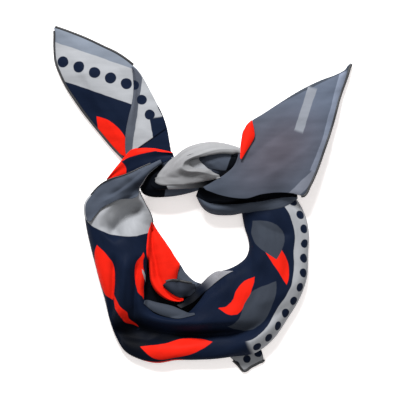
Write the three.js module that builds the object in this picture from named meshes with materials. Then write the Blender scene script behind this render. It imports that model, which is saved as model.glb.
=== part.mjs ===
// A silk neckerchief, folded on the diagonal into a band, laid round into a loop and tied in a half knot.
// It lies on its back on a flat surface, seen from above as it is worn: the knot and the two tails are at +Y.
// Millimetres, +Z up. The plan of every piece is measured from the middle of the neck hole.
import * as THREE from "three";

// Driving sizes
const wall = 1.2;
const gap = 0.3;
const holeRadius = 50;
const bandWidth = 60;
const bandHeight = 20;
const strandLift = 17;
const flapHeight = 11;
const pocketLength = 34;
const pocketWidth = 19;
const pocketRise = 4;
const cornerReach = 17;
const knotLength = 84;
const knotDepth = 42;
const knotHeight = 42;
const coreLength = 104;
const coreDepth = 40;
const coreHeight = 29;
const heartLength = 36;
const heartWidth = 20;
const leftTailLength = 170;
const leftTailWidth = 80;
const turnRise = 4;
const pleatLength = 74;
const pleatWidth = 22;
const rightTailLength = 161;
const rightTailWidth = 90;
const hemDiameter = 2.2;

// Directions in degrees, counter-clockwise from +X
const coreBearing = 19.5;
const heartBearing = 5;
const leftTailBearing = 125;
const rightTailBearing = 43;
const pleatBearing = 19;
const pocketBearing = -3;

// Colours of the cloth: navy, vermilion, slate, pale grey, and the dark thread of the rolled hems
const navy = 0x1c2434;
const vermilion = 0xee3526;
const slate = 0x64707c;
const paleGrey = 0xc4c6ca;
const hemThread = 0x15181f;

// The band round the neck hole: the hole's radius and the band's width at each bearing,
// how high the band stands, and how far it is lifted where the left end climbs into the knot.
const bandSections = [
  { bearing: 116, hole: 1.78, width: 0.07, height: 0.4, lift: 1.0 },
  { bearing: 122, hole: 1.76, width: 0.1, height: 0.42, lift: 1.0 },
  { bearing: 128, hole: 1.74, width: 0.15, height: 0.45, lift: 1.0 },
  { bearing: 135, hole: 1.68, width: 0.26, height: 0.5, lift: 1.0 },
  { bearing: 140, hole: 1.64, width: 0.37, height: 0.55, lift: 0.95 },
  { bearing: 145, hole: 1.42, width: 0.68, height: 0.62, lift: 0.75 },
  { bearing: 150, hole: 1.22, width: 0.95, height: 0.75, lift: 0.4 },
  { bearing: 156, hole: 1.1, width: 1.12, height: 0.88, lift: 0.12 },
  { bearing: 162, hole: 1.08, width: 1.18, height: 0.95, lift: 0 },
  { bearing: 170, hole: 1.06, width: 1.1, height: 1.0, lift: 0 },
  { bearing: 180, hole: 1.06, width: 1.0, height: 1.05, lift: 0 },
  { bearing: 190, hole: 1.08, width: 0.93, height: 1.1, lift: 0 },
  { bearing: 200, hole: 1.18, width: 0.85, height: 1.1, lift: 0 },
  { bearing: 210, hole: 1.3, width: 0.8, height: 1.05, lift: 0 },
  { bearing: 220, hole: 1.52, width: 0.75, height: 0.95, lift: 0 },
  { bearing: 227, hole: 1.66, width: 0.74, height: 0.85, lift: 0 },
  { bearing: 234, hole: 1.7, width: 0.8, height: 0.8, lift: 0 },
  { bearing: 241, hole: 1.66, width: 0.82, height: 0.8, lift: 0 },
  { bearing: 249, hole: 1.58, width: 0.82, height: 0.85, lift: 0 },
  { bearing: 257, hole: 1.44, width: 0.8, height: 0.9, lift: 0 },
  { bearing: 266, hole: 1.16, width: 0.98, height: 1.0, lift: 0 },
  { bearing: 275, hole: 0.92, width: 1.17, height: 1.05, lift: 0 },
  { bearing: 285, hole: 0.82, width: 1.27, height: 1.1, lift: 0 },
  { bearing: 295, hole: 0.72, width: 1.42, height: 1.1, lift: 0 },
  { bearing: 305, hole: 0.68, width: 1.42, height: 1.1, lift: 0 },
  { bearing: 318, hole: 0.74, width: 1.27, height: 1.05, lift: 0 },
  { bearing: 330, hole: 0.82, width: 1.17, height: 1.0, lift: 0 },
  { bearing: 342, hole: 0.9, width: 1.07, height: 1.0, lift: 0 },
  { bearing: 354, hole: 0.92, width: 0.99, height: 0.95, lift: 0 },
  { bearing: 366, hole: 0.9, width: 1.02, height: 0.9, lift: 0 },
  { bearing: 378, hole: 0.88, width: 1.02, height: 0.85, lift: 0 },
  { bearing: 390, hole: 0.92, width: 0.92, height: 0.75, lift: 0 },
  { bearing: 400, hole: 1.0, width: 0.75, height: 0.65, lift: 0 },
  { bearing: 408, hole: 1.1, width: 0.62, height: 0.6, lift: 0 },
];

// The rolled section of the band, from the slit at the inner edge, out along the flat underside,
// round the outer edge and back over the top: across is -1 at the hole and 1 outside.
const bandProfile = [
  { across: -0.8, rise: 0 },
  { across: -0.3, rise: 0 },
  { across: 0.3, rise: 0 },
  { across: 0.82, rise: 0 },
  { across: 0.96, rise: 0.14 },
  { across: 1.0, rise: 0.34 },
  { across: 0.95, rise: 0.58 },
  { across: 0.8, rise: 0.8 },
  { across: 0.55, rise: 0.94 },
  { across: 0.28, rise: 1.0 },
  { across: 0, rise: 0.99 },
  { across: -0.28, rise: 1.0 },
  { across: -0.55, rise: 0.95 },
  { across: -0.78, rise: 0.84 },
  { across: -0.93, rise: 0.66 },
  { across: -1.0, rise: 0.46 },
  { across: -0.97, rise: 0.27 },
];

// Long creases along the top of the band, as shares of its width and height
const bandCreases = [
  { start: 165, end: 245, acrossStart: 0.1, acrossEnd: -0.25, depth: 0.22, spread: 0.13 },
  { start: 180, end: 285, acrossStart: 0.6, acrossEnd: 0.35, depth: 0.2, spread: 0.12 },
  { start: 235, end: 310, acrossStart: -0.1, acrossEnd: 0.15, depth: 0.24, spread: 0.14 },
  { start: 300, end: 395, acrossStart: 0.45, acrossEnd: 0.05, depth: 0.22, spread: 0.13 },
];

// The upper strand that lies on the left of the band: its inner edge as a share of the band's width
const strandSections = [
  { bearing: 117, edge: 0.04 },
  { bearing: 126, edge: 0.04 },
  { bearing: 134, edge: 0.05 },
  { bearing: 141, edge: 0.06 },
  { bearing: 147, edge: 0.33 },
  { bearing: 152, edge: 0.56 },
  { bearing: 158, edge: 0.69 },
  { bearing: 164, edge: 0.79 },
  { bearing: 169, edge: 0.91 },
];

// The flap inside the band on the left: the hole's edge and the height of its ridge
const flapSections = [
  { bearing: 160, hole: 0.96, ridge: 0.6 },
  { bearing: 168, hole: 0.86, ridge: 0.75 },
  { bearing: 178, hole: 0.75, ridge: 0.9 },
  { bearing: 192, hole: 0.67, ridge: 1.0 },
  { bearing: 208, hole: 0.64, ridge: 1.0 },
  { bearing: 223, hole: 0.65, ridge: 1.0 },
  { bearing: 238, hole: 0.72, ridge: 0.9 },
  { bearing: 250, hole: 0.78, ridge: 0.8 },
  { bearing: 258, hole: 0.8, ridge: 0.7 },
  { bearing: 265, hole: 0.82, ridge: 0.55 },
];

const flapProfile = [
  { share: 0, rise: 0.3 },
  { share: 0.25, rise: 0.62 },
  { share: 0.45, rise: 0.92 },
  { share: 0.62, rise: 1.0 },
  { share: 0.82, rise: 0.35 },
];

// The hemmed corner beyond the band's outer edge: how far it reaches at each bearing
const cornerSections = [
  { bearing: 283.5, reach: 0.06 },
  { bearing: 286, reach: 0.5 },
  { bearing: 287.6, reach: 0.9 },
  { bearing: 291.5, reach: 0.68 },
  { bearing: 296, reach: 0.5 },
  { bearing: 300.5, reach: 0.2 },
  { bearing: 303, reach: 0.06 },
];

// Leaves of cloth: each row is a section across the leaf, with where it is along the leaf's length
// and how far each edge stands off the centre line, as shares of the leaf's length and width.
// Lift is the height of the middle and arch how far it bulges over its edges.
const leftTailSections = [
  { along: 0.985, left: 0.0, right: 0.01, lift: 0.16, arch: 0 },
  { along: 0.96, left: 0.02, right: 0.05, lift: 0.18, arch: 0.03 },
  { along: 0.9, left: 0.11, right: 0.14, lift: 0.25, arch: 0.1 },
  { along: 0.82, left: 0.21, right: 0.25, lift: 0.36, arch: 0.15 },
  { along: 0.73, left: 0.26, right: 0.36, lift: 0.44, arch: 0.2 },
  { along: 0.65, left: 0.285, right: 0.455, lift: 0.5, arch: 0.25 },
  { along: 0.56, left: 0.29, right: 0.525, lift: 0.54, arch: 0.28 },
  { along: 0.48, left: 0.29, right: 0.56, lift: 0.56, arch: 0.3 },
  { along: 0.39, left: 0.28, right: 0.545, lift: 0.56, arch: 0.3 },
  { along: 0.3, left: 0.265, right: 0.52, lift: 0.56, arch: 0.3 },
  { along: 0.2, left: 0.245, right: 0.49, lift: 0.56, arch: 0.28 },
  { along: 0.12, left: 0.215, right: 0.44, lift: 0.56, arch: 0.22 },
  { along: 0.03, left: 0.17, right: 0.34, lift: 0.56, arch: 0.12 },
];
const turnSections = [
  { along: 0.53, left: -0.515, right: 0.53, lift: 0.1, arch: 0 },
  { along: 0.48, left: -0.46, right: 0.55, lift: 0.6, arch: 0.3 },
  { along: 0.42, left: -0.38, right: 0.54, lift: 0.9, arch: 0.5 },
  { along: 0.36, left: -0.27, right: 0.53, lift: 1.0, arch: 0.6 },
  { along: 0.3, left: -0.13, right: 0.51, lift: 1.0, arch: 0.6 },
  { along: 0.24, left: 0.0, right: 0.49, lift: 0.9, arch: 0.5 },
  { along: 0.18, left: 0.1, right: 0.47, lift: 0.7, arch: 0.4 },
  { along: 0.12, left: 0.18, right: 0.42, lift: 0.4, arch: 0.2 },
];
const pleatSections = [
  { along: 0.0, left: 0.04, right: 0.03, lift: 0.2, arch: 0 },
  { along: 0.12, left: 0.3, right: 0.05, lift: 0.4, arch: 0.1 },
  { along: 0.25, left: 0.56, right: 0.12, lift: 0.6, arch: 0.15 },
  { along: 0.38, left: 0.81, right: 0.2, lift: 0.75, arch: 0.2 },
  { along: 0.49, left: 0.88, right: 0.25, lift: 0.8, arch: 0.2 },
  { along: 0.62, left: 0.79, right: 0.2, lift: 0.8, arch: 0.2 },
  { along: 0.75, left: 0.62, right: 0.12, lift: 0.8, arch: 0.15 },
  { along: 0.87, left: 0.39, right: 0.08, lift: 0.8, arch: 0.1 },
  { along: 0.96, left: 0.2, right: 0.04, lift: 0.8, arch: 0 },
];
const rightTailSections = [
  { along: 0.985, left: 0.01, right: 0.0, lift: 0.06, arch: 0 },
  { along: 0.96, left: 0.01, right: 0.02, lift: 0.08, arch: 0.01 },
  { along: 0.93, left: 0.0, right: 0.05, lift: 0.12, arch: 0.03 },
  { along: 0.865, left: 0.03, right: 0.11, lift: 0.18, arch: 0.05 },
  { along: 0.77, left: 0.1, right: 0.2, lift: 0.26, arch: 0.07 },
  { along: 0.64, left: 0.17, right: 0.345, lift: 0.36, arch: 0.1 },
  { along: 0.5, left: 0.22, right: 0.48, lift: 0.46, arch: 0.12 },
  { along: 0.37, left: 0.26, right: 0.6, lift: 0.55, arch: 0.14 },
  { along: 0.28, left: 0.29, right: 0.65, lift: 0.62, arch: 0.15 },
  { along: 0.205, left: 0.27, right: 0.665, lift: 0.67, arch: 0.15 },
  { along: 0.165, left: 0.22, right: 0.56, lift: 0.7, arch: 0.13 },
  { along: 0.1, left: 0.13, right: 0.465, lift: 0.72, arch: 0.1 },
  { along: 0.02, left: 0.06, right: 0.375, lift: 0.74, arch: 0.06 },
  { along: -0.06, left: 0.05, right: 0.285, lift: 0.76, arch: 0.04 },
  { along: -0.12, left: 0.05, right: 0.16, lift: 0.76, arch: 0.02 },
];
const pocketSections = [
  { along: 0.0, left: 0.03, right: 0.03, lift: 0.1, arch: 0 },
  { along: 0.1, left: 0.18, right: 0.2, lift: 0.5, arch: 0.3 },
  { along: 0.3, left: 0.26, right: 0.44, lift: 1.0, arch: 0.8 },
  { along: 0.55, left: 0.22, right: 0.6, lift: 1.0, arch: 1.0 },
  { along: 0.8, left: 0.16, right: 0.5, lift: 1.0, arch: 0.8 },
  { along: 0.95, left: 0.14, right: 0.25, lift: 0.6, arch: 0.2 },
];
const heartSections = [
  { along: 0.0, left: 0.05, right: 0.05, lift: 0.72, arch: 0 },
  { along: 0.15, left: 0.32, right: 0.25, lift: 0.78, arch: 0.05 },
  { along: 0.4, left: 0.5, right: 0.42, lift: 0.8, arch: 0.08 },
  { along: 0.65, left: 0.5, right: 0.5, lift: 0.78, arch: 0.07 },
  { along: 0.85, left: 0.24, right: 0.4, lift: 0.74, arch: 0.04 },
  { along: 1.0, left: 0.06, right: 0.06, lift: 0.72, arch: 0 },
];

// Folds of the knot and the roll below the right tail: both edges of each section, with x and y as
// shares of half the knot's length and depth from its middle.
const wrapSections = [
  { outerX: -1.0, outerY: -0.81, innerX: -0.96, innerY: -0.88, lift: 0.62, arch: 0 },
  { outerX: -0.93, outerY: -0.48, innerX: -0.71, innerY: -0.85, lift: 0.74, arch: 0.08 },
  { outerX: -0.79, outerY: -0.1, innerX: -0.43, innerY: -0.83, lift: 0.84, arch: 0.16 },
  { outerX: -0.62, outerY: 0.29, innerX: -0.22, innerY: -0.71, lift: 0.93, arch: 0.22 },
  { outerX: -0.43, outerY: 0.67, innerX: -0.1, innerY: -0.33, lift: 0.99, arch: 0.24 },
  { outerX: -0.19, outerY: 0.9, innerX: 0.0, innerY: 0.14, lift: 1.0, arch: 0.2 },
  { outerX: 0.12, outerY: 1.1, innerX: 0.21, innerY: 0.46, lift: 0.97, arch: 0.15 },
  { outerX: 0.52, outerY: 1.1, innerX: 0.57, innerY: 0.64, lift: 0.9, arch: 0.1 },
  { outerX: 0.98, outerY: 0.8, innerX: 0.98, innerY: 0.68, lift: 0.78, arch: 0.02 },
];
const lipSections = [
  { outerX: -0.14, outerY: -0.4, innerX: -0.18, innerY: -0.72, lift: 0.8, arch: 0.06 },
  { outerX: 0.05, outerY: -0.36, innerX: 0.04, innerY: -0.72, lift: 0.82, arch: 0.08 },
  { outerX: 0.28, outerY: -0.42, innerX: 0.28, innerY: -0.68, lift: 0.82, arch: 0.07 },
  { outerX: 0.48, outerY: -0.48, innerX: 0.48, innerY: -0.58, lift: 0.8, arch: 0.03 },
];
const tailTurnSections = [
  { outerX: 1.26, outerY: 2.1, innerX: 1.28, innerY: 2.05, lift: 0.6, arch: 0 },
  { outerX: 1.14, outerY: 1.86, innerX: 1.33, innerY: 1.57, lift: 0.65, arch: 0.04 },
  { outerX: 1.06, outerY: 1.5, innerX: 1.33, innerY: 1.29, lift: 0.68, arch: 0.05 },
  { outerX: 1.02, outerY: 1.15, innerX: 1.26, innerY: 1.0, lift: 0.7, arch: 0.05 },
  { outerX: 1.0, outerY: 0.8, innerX: 1.14, innerY: 0.62, lift: 0.72, arch: 0.03 },
  { outerX: 0.99, outerY: 0.3, innerX: 1.02, innerY: 0.24, lift: 0.74, arch: 0 },
];
const rollSections = [
  { outerX: -0.05, outerY: -1.48, innerX: 0.05, innerY: -1.0, lift: 0.55, arch: 0.05 },
  { outerX: 0.12, outerY: -2.05, innerX: 0.33, innerY: -1.19, lift: 0.55, arch: 0.14 },
  { outerX: 0.36, outerY: -2.33, innerX: 0.57, innerY: -1.29, lift: 0.55, arch: 0.17 },
  { outerX: 0.76, outerY: -2.38, innerX: 0.88, innerY: -1.38, lift: 0.55, arch: 0.17 },
  { outerX: 1.12, outerY: -2.26, innerX: 1.19, innerY: -1.38, lift: 0.54, arch: 0.17 },
  { outerX: 1.52, outerY: -2.14, innerX: 1.52, innerY: -1.24, lift: 0.52, arch: 0.16 },
  { outerX: 1.95, outerY: -1.98, innerX: 1.9, innerY: -1.05, lift: 0.5, arch: 0.14 },
  { outerX: 2.36, outerY: -1.62, innerX: 2.33, innerY: -1.1, lift: 0.48, arch: 0.05 },
];

// The top of a sheet whose hem just touches the surface
const sheetRest = wall + hemDiameter / 2;

// Where the pieces lie, as shares of the radius of the hole or of the band's reach
const bandReach = holeRadius + bandWidth;
const knotPlace = new THREE.Vector2(-0.045 * bandReach, 0.71 * bandReach);
const corePlace = new THREE.Vector2(-0.118 * bandReach, 0.64 * bandReach);
const heartPlace = new THREE.Vector2(-0.018 * bandReach, 0.727 * bandReach);
const leftTailPlace = new THREE.Vector2(-0.482 * bandReach, 0.709 * bandReach);
const rightTailPlace = new THREE.Vector2(0.291 * bandReach, 0.645 * bandReach);
const pleatPlace = new THREE.Vector2(-0.873 * bandReach, 0.573 * bandReach);
const pocketPlace = new THREE.Vector2(-0.8 * holeRadius, -0.84 * holeRadius);

const radians = THREE.MathUtils.degToRad;

// A smooth curve through the rows of a table: the value of one column at a place in another.
function follow(rows, key, column) {
  const ordered = [...rows].sort((a, b) => a[key] - b[key]);
  const places = ordered.map((row) => row[key]);
  const values = ordered.map((row) => row[column]);
  const last = places.length - 1;
  const slopes = values.map((value, i) => {
    const before = Math.max(i - 1, 0);
    const after = Math.min(i + 1, last);
    return (values[after] - values[before]) / (places[after] - places[before]);
  });
  return (place) => {
    const at = THREE.MathUtils.clamp(place, places[0], places[last]);
    let i = 0;
    while (i < last - 1 && at > places[i + 1]) i += 1;
    const span = places[i + 1] - places[i];
    const t = (at - places[i]) / span;
    const bend = t * t * (3 - 2 * t);
    const startPull = t * (1 - t) * (1 - t) * slopes[i] * span;
    const endPull = t * t * (t - 1) * slopes[i + 1] * span;
    return values[i] + (values[i + 1] - values[i]) * bend + startPull + endPull;
  };
}

// A closed body from a grid of upper points and the grid below them, joined round all four edges.
function bodyFromGrids(upper, lower) {
  const rows = upper.length;
  const columns = upper[0].length;
  const positions = [];
  for (const grid of [upper, lower]) {
    for (const row of grid) {
      for (const point of row) positions.push(point.x, point.y, point.z);
    }
  }
  const top = (i, j) => i * columns + j;
  const bottom = (i, j) => rows * columns + i * columns + j;
  const faces = [];
  const quad = (a, b, c, d) => faces.push(a, b, c, a, c, d);
  for (let i = 0; i < rows - 1; i += 1) {
    for (let j = 0; j < columns - 1; j += 1) {
      quad(top(i, j), top(i + 1, j), top(i + 1, j + 1), top(i, j + 1));
      quad(bottom(i, j), bottom(i, j + 1), bottom(i + 1, j + 1), bottom(i + 1, j));
    }
  }
  for (let i = 0; i < rows - 1; i += 1) {
    quad(top(i, 0), bottom(i, 0), bottom(i + 1, 0), top(i + 1, 0));
    const j = columns - 1;
    quad(top(i, j), top(i + 1, j), bottom(i + 1, j), bottom(i, j));
  }
  for (let j = 0; j < columns - 1; j += 1) {
    quad(top(0, j), top(0, j + 1), bottom(0, j + 1), bottom(0, j));
    const i = rows - 1;
    quad(top(i, j), bottom(i, j), bottom(i, j + 1), top(i, j + 1));
  }
  return outwardGeometry(positions, faces);
}

// A geometry whose faces point outwards, whichever way its faces were wound.
function outwardGeometry(positions, faces) {
  let volume = 0;
  const corner = (index) => new THREE.Vector3().fromArray(positions, index * 3);
  for (let f = 0; f < faces.length; f += 3) {
    volume += corner(faces[f]).dot(corner(faces[f + 1]).cross(corner(faces[f + 2])));
  }
  const wound = volume < 0 ? faces.toReversed() : faces;
  const geometry = new THREE.BufferGeometry();
  geometry.setAttribute("position", new THREE.Float32BufferAttribute(positions, 3));
  geometry.setIndex(wound);
  geometry.computeVertexNormals();
  return geometry;
}

// The direction square to a grid of points at one of them
function squareTo(grid, i, j) {
  const rows = grid.length - 1;
  const columns = grid[0].length - 1;
  const along = grid[Math.min(i + 1, rows)][j].clone().sub(grid[Math.max(i - 1, 0)][j]);
  const across = grid[i][Math.min(j + 1, columns)].clone().sub(grid[i][Math.max(j - 1, 0)]);
  return along.cross(across).normalize();
}

// What has been laid down so far, and how high it stands at a place
const pile = [];

function pileTop(x, y) {
  let highest = 0;
  for (const triangle of pile) {
    if (x < triangle.minX || x > triangle.maxX || y < triangle.minY || y > triangle.maxY) continue;
    const { a, b, c, twice } = triangle;
    const u = ((b.x - x) * (c.y - y) - (c.x - x) * (b.y - y)) / twice;
    const v = ((c.x - x) * (a.y - y) - (a.x - x) * (c.y - y)) / twice;
    const w = 1 - u - v;
    if (u < 0 || v < 0 || w < 0) continue;
    highest = Math.max(highest, u * a.z + v * b.z + w * c.z);
  }
  return highest;
}

function addToPile(geometry) {
  const points = geometry.getAttribute("position");
  const index = geometry.index ? geometry.index.array : [...Array(points.count).keys()];
  for (let f = 0; f < index.length; f += 3) {
    const [a, b, c] = [0, 1, 2].map((k) => new THREE.Vector3().fromBufferAttribute(points, index[f + k]));
    const twice = (b.x - a.x) * (c.y - a.y) - (c.x - a.x) * (b.y - a.y);
    if (Math.abs(twice) < 1e-6) continue;
    pile.push({
      a,
      b,
      c,
      twice,
      minX: Math.min(a.x, b.x, c.x),
      maxX: Math.max(a.x, b.x, c.x),
      minY: Math.min(a.y, b.y, c.y),
      maxY: Math.max(a.y, b.y, c.y),
    });
  }
}

// The height that a point of a sheet needs so that the cells of cloth round it clear the pile
function clearHeight(grid, i, j) {
  const point = grid[i][j];
  let needed = pileTop(point.x, point.y);
  for (const [di, dj] of [[1, 0], [-1, 0], [0, 1], [0, -1], [1, 1], [-1, -1], [1, -1], [-1, 1]]) {
    const next = grid[i + di]?.[j + dj];
    if (!next) continue;
    for (const share of [0.35, 0.7, 1]) {
      const x = point.x + (next.x - point.x) * share;
      const y = point.y + (next.y - point.y) * share;
      needed = Math.max(needed, pileTop(x, y));
    }
  }
  return needed;
}

// A sheet laid on the pile: it keeps its own form where it hangs free and rises over what is below.
function laidSheet(grid, rest) {
  const thick = grid.map((row) => row.map(() => wall));
  for (let pass = 0; pass < 2; pass += 1) {
    grid.forEach((row, i) => {
      row.forEach((point, j) => {
        point.z = Math.max(point.z, clearHeight(grid, i, j) + rest + thick[i][j]);
      });
    });
    grid.forEach((row, i) => {
      row.forEach((point, j) => {
        const slope = Math.max(Math.abs(squareTo(grid, i, j).z), 0.55);
        thick[i][j] = wall / slope;
      });
    });
  }
  const lower = grid.map((row, i) => row.map((point, j) => point.clone().setZ(point.z - thick[i][j])));
  return bodyFromGrids(grid, lower);
}

// A sheet with its thickness square to the cloth, for a fold that curls round on itself
function curledSheet(grid) {
  const lower = grid.map((row, i) =>
    row.map((point, j) => point.clone().addScaledVector(squareTo(grid, i, j), -wall)),
  );
  return bodyFromGrids(grid, lower);
}

// The grid of a leaf: sections across a straight centre line that starts at a place and has a bearing.
function leafGrid(place, bearing, length, width, height, sections, steps, across) {
  const start = Math.min(...sections.map((section) => section.along));
  const end = Math.max(...sections.map((section) => section.along));
  const [left, right, lift, arch] = ["left", "right", "lift", "arch"].map((column) =>
    follow(sections, "along", column),
  );
  const forward = new THREE.Vector2(Math.cos(radians(bearing)), Math.sin(radians(bearing)));
  const aside = new THREE.Vector2(-forward.y, forward.x);
  const grid = [];
  for (let i = 0; i <= steps; i += 1) {
    const along = start + ((end - start) * i) / steps;
    const row = [];
    for (let j = 0; j <= across; j += 1) {
      const share = j / across;
      const offset = (left(along) - (left(along) + right(along)) * share) * width;
      const bulge = 1 - (2 * share - 1) ** 2;
      const z = (lift(along) - arch(along) * (1 - bulge)) * height;
      const flat = place.clone().addScaledVector(forward, along * length).addScaledVector(aside, offset);
      row.push(new THREE.Vector3(flat.x, flat.y, Math.max(z, sheetRest)));
    }
    grid.push(row);
  }
  return grid;
}

// The grid of a fold of the knot, between its outer and inner edges
const evenArch = (share) => 1 - (2 * share - 1) ** 2;

function foldGrid(sections, steps, across, rise = evenArch) {
  const rows = sections.map((section, i) => ({ ...section, at: i / (sections.length - 1) }));
  const value = (column, at) => follow(rows, "at", column)(at);
  const grid = [];
  for (let i = 0; i <= steps; i += 1) {
    const at = i / steps;
    const outer = new THREE.Vector2(value("outerX", at), value("outerY", at));
    const inner = new THREE.Vector2(value("innerX", at), value("innerY", at));
    const row = [];
    for (let j = 0; j <= across; j += 1) {
      const share = j / across;
      const plan = outer.clone().lerp(inner, share);
      const z = (value("lift", at) - value("arch", at) * (1 - rise(share))) * knotHeight;
      row.push(new THREE.Vector3(
        knotPlace.x + (plan.x * knotLength) / 2,
        knotPlace.y + (plan.y * knotDepth) / 2,
        z,
      ));
    }
    grid.push(row);
  }
  return grid;
}

// A rolled hem along one edge of a sheet, clear of the cloth by the gap
function hemAlong(grid, from, to, column, stepsPerRow = 1) {
  const inward = column === 0 ? 1 : -1;
  const path = [];
  for (let i = from; i <= to; i += 1) {
    const edge = grid[i][column];
    const next = grid[Math.min(i + 1, grid.length - 1)][column];
    const before = grid[Math.max(i - 1, 0)][column];
    const outward = new THREE.Vector3(next.y - before.y, before.x - next.x, 0).normalize();
    if (outward.dot(edge.clone().sub(grid[i][column + inward])) < 0) outward.negate();
    path.push(edge.clone().addScaledVector(outward, hemDiameter / 2 + 2 * gap));
  }
  const curve = new THREE.CatmullRomCurve3(path, false, "centripetal");
  const sides = 6;
  const section = new THREE.Shape();
  for (let k = 0; k < sides; k += 1) {
    const angle = (2 * Math.PI * k) / sides;
    const x = (hemDiameter / 2) * Math.cos(angle);
    const y = (hemDiameter / 2) * Math.sin(angle);
    if (k === 0) section.moveTo(x, y);
    else section.lineTo(x, y);
  }
  section.closePath();
  const options = { steps: path.length * stepsPerRow, bevelEnabled: false, extrudePath: curve };
  return new THREE.ExtrudeGeometry(section, options);
}

const kerchief = new THREE.Group();
kerchief.name = "neckerchief";

function addPiece(name, geometry, color, roughness = 0.55) {
  const material = new THREE.MeshStandardMaterial({ color, roughness, metalness: 0 });
  const mesh = new THREE.Mesh(geometry, material);
  mesh.name = name;
  kerchief.add(mesh);
  addToPile(geometry);
}

function addSheet(name, grid, color) {
  addPiece(name, laidSheet(grid, gap), color);
}

// Core of the knot: the packed cloth that the folds go round, flattened where it rests
function coreGeometry() {
  const around = 24;
  const rings = 7;
  const forward = new THREE.Vector2(Math.cos(radians(coreBearing)), Math.sin(radians(coreBearing)));
  const aside = new THREE.Vector2(-forward.y, forward.x);
  const positions = [];
  const faces = [];
  const push = (along, offset, z) => {
    const flat = corePlace.clone().addScaledVector(forward, along).addScaledVector(aside, offset);
    positions.push(flat.x, flat.y, z);
  };
  for (let i = 0; i <= rings; i += 1) {
    const tilt = (Math.PI * (i + 0.5)) / (rings + 1) - Math.PI / 2;
    for (let k = 0; k < around; k += 1) {
      const angle = (2 * Math.PI * k) / around;
      const along = (coreLength / 2) * Math.cos(tilt) * Math.cos(angle);
      const offset = (coreDepth / 2) * Math.cos(tilt) * Math.sin(angle);
      push(along, offset, (coreHeight / 2) * (1 + Math.sin(tilt)));
    }
  }
  const ring = (i, k) => i * around + (k % around);
  const lowest = positions.length / 3;
  push(0, 0, positions[2]);
  const highest = lowest + 1;
  push(0, 0, coreHeight);
  for (let k = 0; k < around; k += 1) {
    faces.push(ring(0, k), lowest, ring(0, k + 1));
    faces.push(ring(rings, k), ring(rings, k + 1), highest);
    for (let i = 0; i < rings; i += 1) {
      faces.push(ring(i, k), ring(i, k + 1), ring(i + 1, k + 1));
      faces.push(ring(i, k), ring(i + 1, k + 1), ring(i + 1, k));
    }
  }
  return outwardGeometry(positions, faces);
}
addPiece("knot_core", coreGeometry(), slate);

// Left tail: it lies low, below the lifted end of the band, with one side turned over on it
const tailSteps = 26;
const leftTail = leafGrid(
  leftTailPlace, leftTailBearing, leftTailLength, leftTailWidth, strandLift, leftTailSections, tailSteps, 8,
);
addSheet("left_tail", leftTail, navy);
addPiece("hem_left_tail_top", hemAlong(leftTail, tailSteps - 9, tailSteps, 8), hemThread);
addPiece("hem_left_tail_side", hemAlong(leftTail, tailSteps - 8, tailSteps - 1, 0), hemThread);
const leftTurn = leafGrid(
  leftTailPlace, leftTailBearing, leftTailLength, leftTailWidth, turnRise, turnSections, 12, 6,
);
addSheet("left_tail_turn", leftTurn, paleGrey);
const pleat = leafGrid(
  pleatPlace, pleatBearing, pleatLength, pleatWidth, strandLift, pleatSections, 14, 6,
);
addSheet("left_tail_pleat", pleat, vermilion);

// Band: a rolled strip round the neck hole, open in a slit along the inside of its underside.
// Its left end climbs over the root of the left tail and the knot's core.
const bandHole = follow(bandSections, "bearing", "hole");
const bandSpan = follow(bandSections, "bearing", "width");
const bandStands = follow(bandSections, "bearing", "height");
const bandLift = follow(bandSections, "bearing", "lift");

function bandPlan(bearing, across) {
  const radius = bandHole(bearing) * holeRadius + ((across + 1) / 2) * bandSpan(bearing) * bandWidth;
  return new THREE.Vector3(radius * Math.cos(radians(bearing)), radius * Math.sin(radians(bearing)), 0);
}

function bandFloor(bearing, reach) {
  let floor = 0;
  for (const turn of [-reach, 0, reach]) {
    for (const { across } of bandProfile) {
      const { x, y } = bandPlan(bearing + turn, across);
      const top = pileTop(x, y);
      if (top > 0) floor = Math.max(floor, top + gap);
    }
  }
  return Math.max(floor, Math.max(bandLift(bearing), 0) * strandLift);
}

function bandRise(bearing, across, rise) {
  let height = rise;
  for (const crease of bandCreases) {
    if (bearing <= crease.start || bearing >= crease.end || rise < 0.5) continue;
    const share = (bearing - crease.start) / (crease.end - crease.start);
    const middle = crease.acrossStart + (crease.acrossEnd - crease.acrossStart) * share;
    const fade = Math.sin(Math.PI * share);
    height -= crease.depth * fade * Math.exp(-(((across - middle) / crease.spread) ** 2));
  }
  return height * bandStands(bearing) * bandHeight;
}

function makeBand() {
  const first = bandSections[0].bearing;
  const last = bandSections.at(-1).bearing;
  const steps = 60;
  const turn = (last - first) / steps;
  const grid = [];
  for (let i = 0; i <= steps; i += 1) {
    const bearing = first + turn * i;
    const floor = bandFloor(bearing, turn);
    grid.push(bandProfile.map(({ across, rise }) =>
      bandPlan(bearing, across).setZ(floor + bandRise(bearing, across, rise)),
    ));
  }
  return grid;
}
addPiece("loop_band", curledSheet(makeBand()), navy);

// A sheet in sections square to the neck hole: each point's radius and height at a bearing
function ringGrid(first, last, steps, columns, place) {
  const grid = [];
  for (let i = 0; i <= steps; i += 1) {
    const bearing = first + ((last - first) * i) / steps;
    const row = [];
    for (let j = 0; j <= columns; j += 1) {
      const { radius, z } = place(bearing, j / columns);
      row.push(new THREE.Vector3(radius * Math.cos(radians(bearing)), radius * Math.sin(radians(bearing)), z));
    }
    grid.push(row);
  }
  return grid;
}

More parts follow.
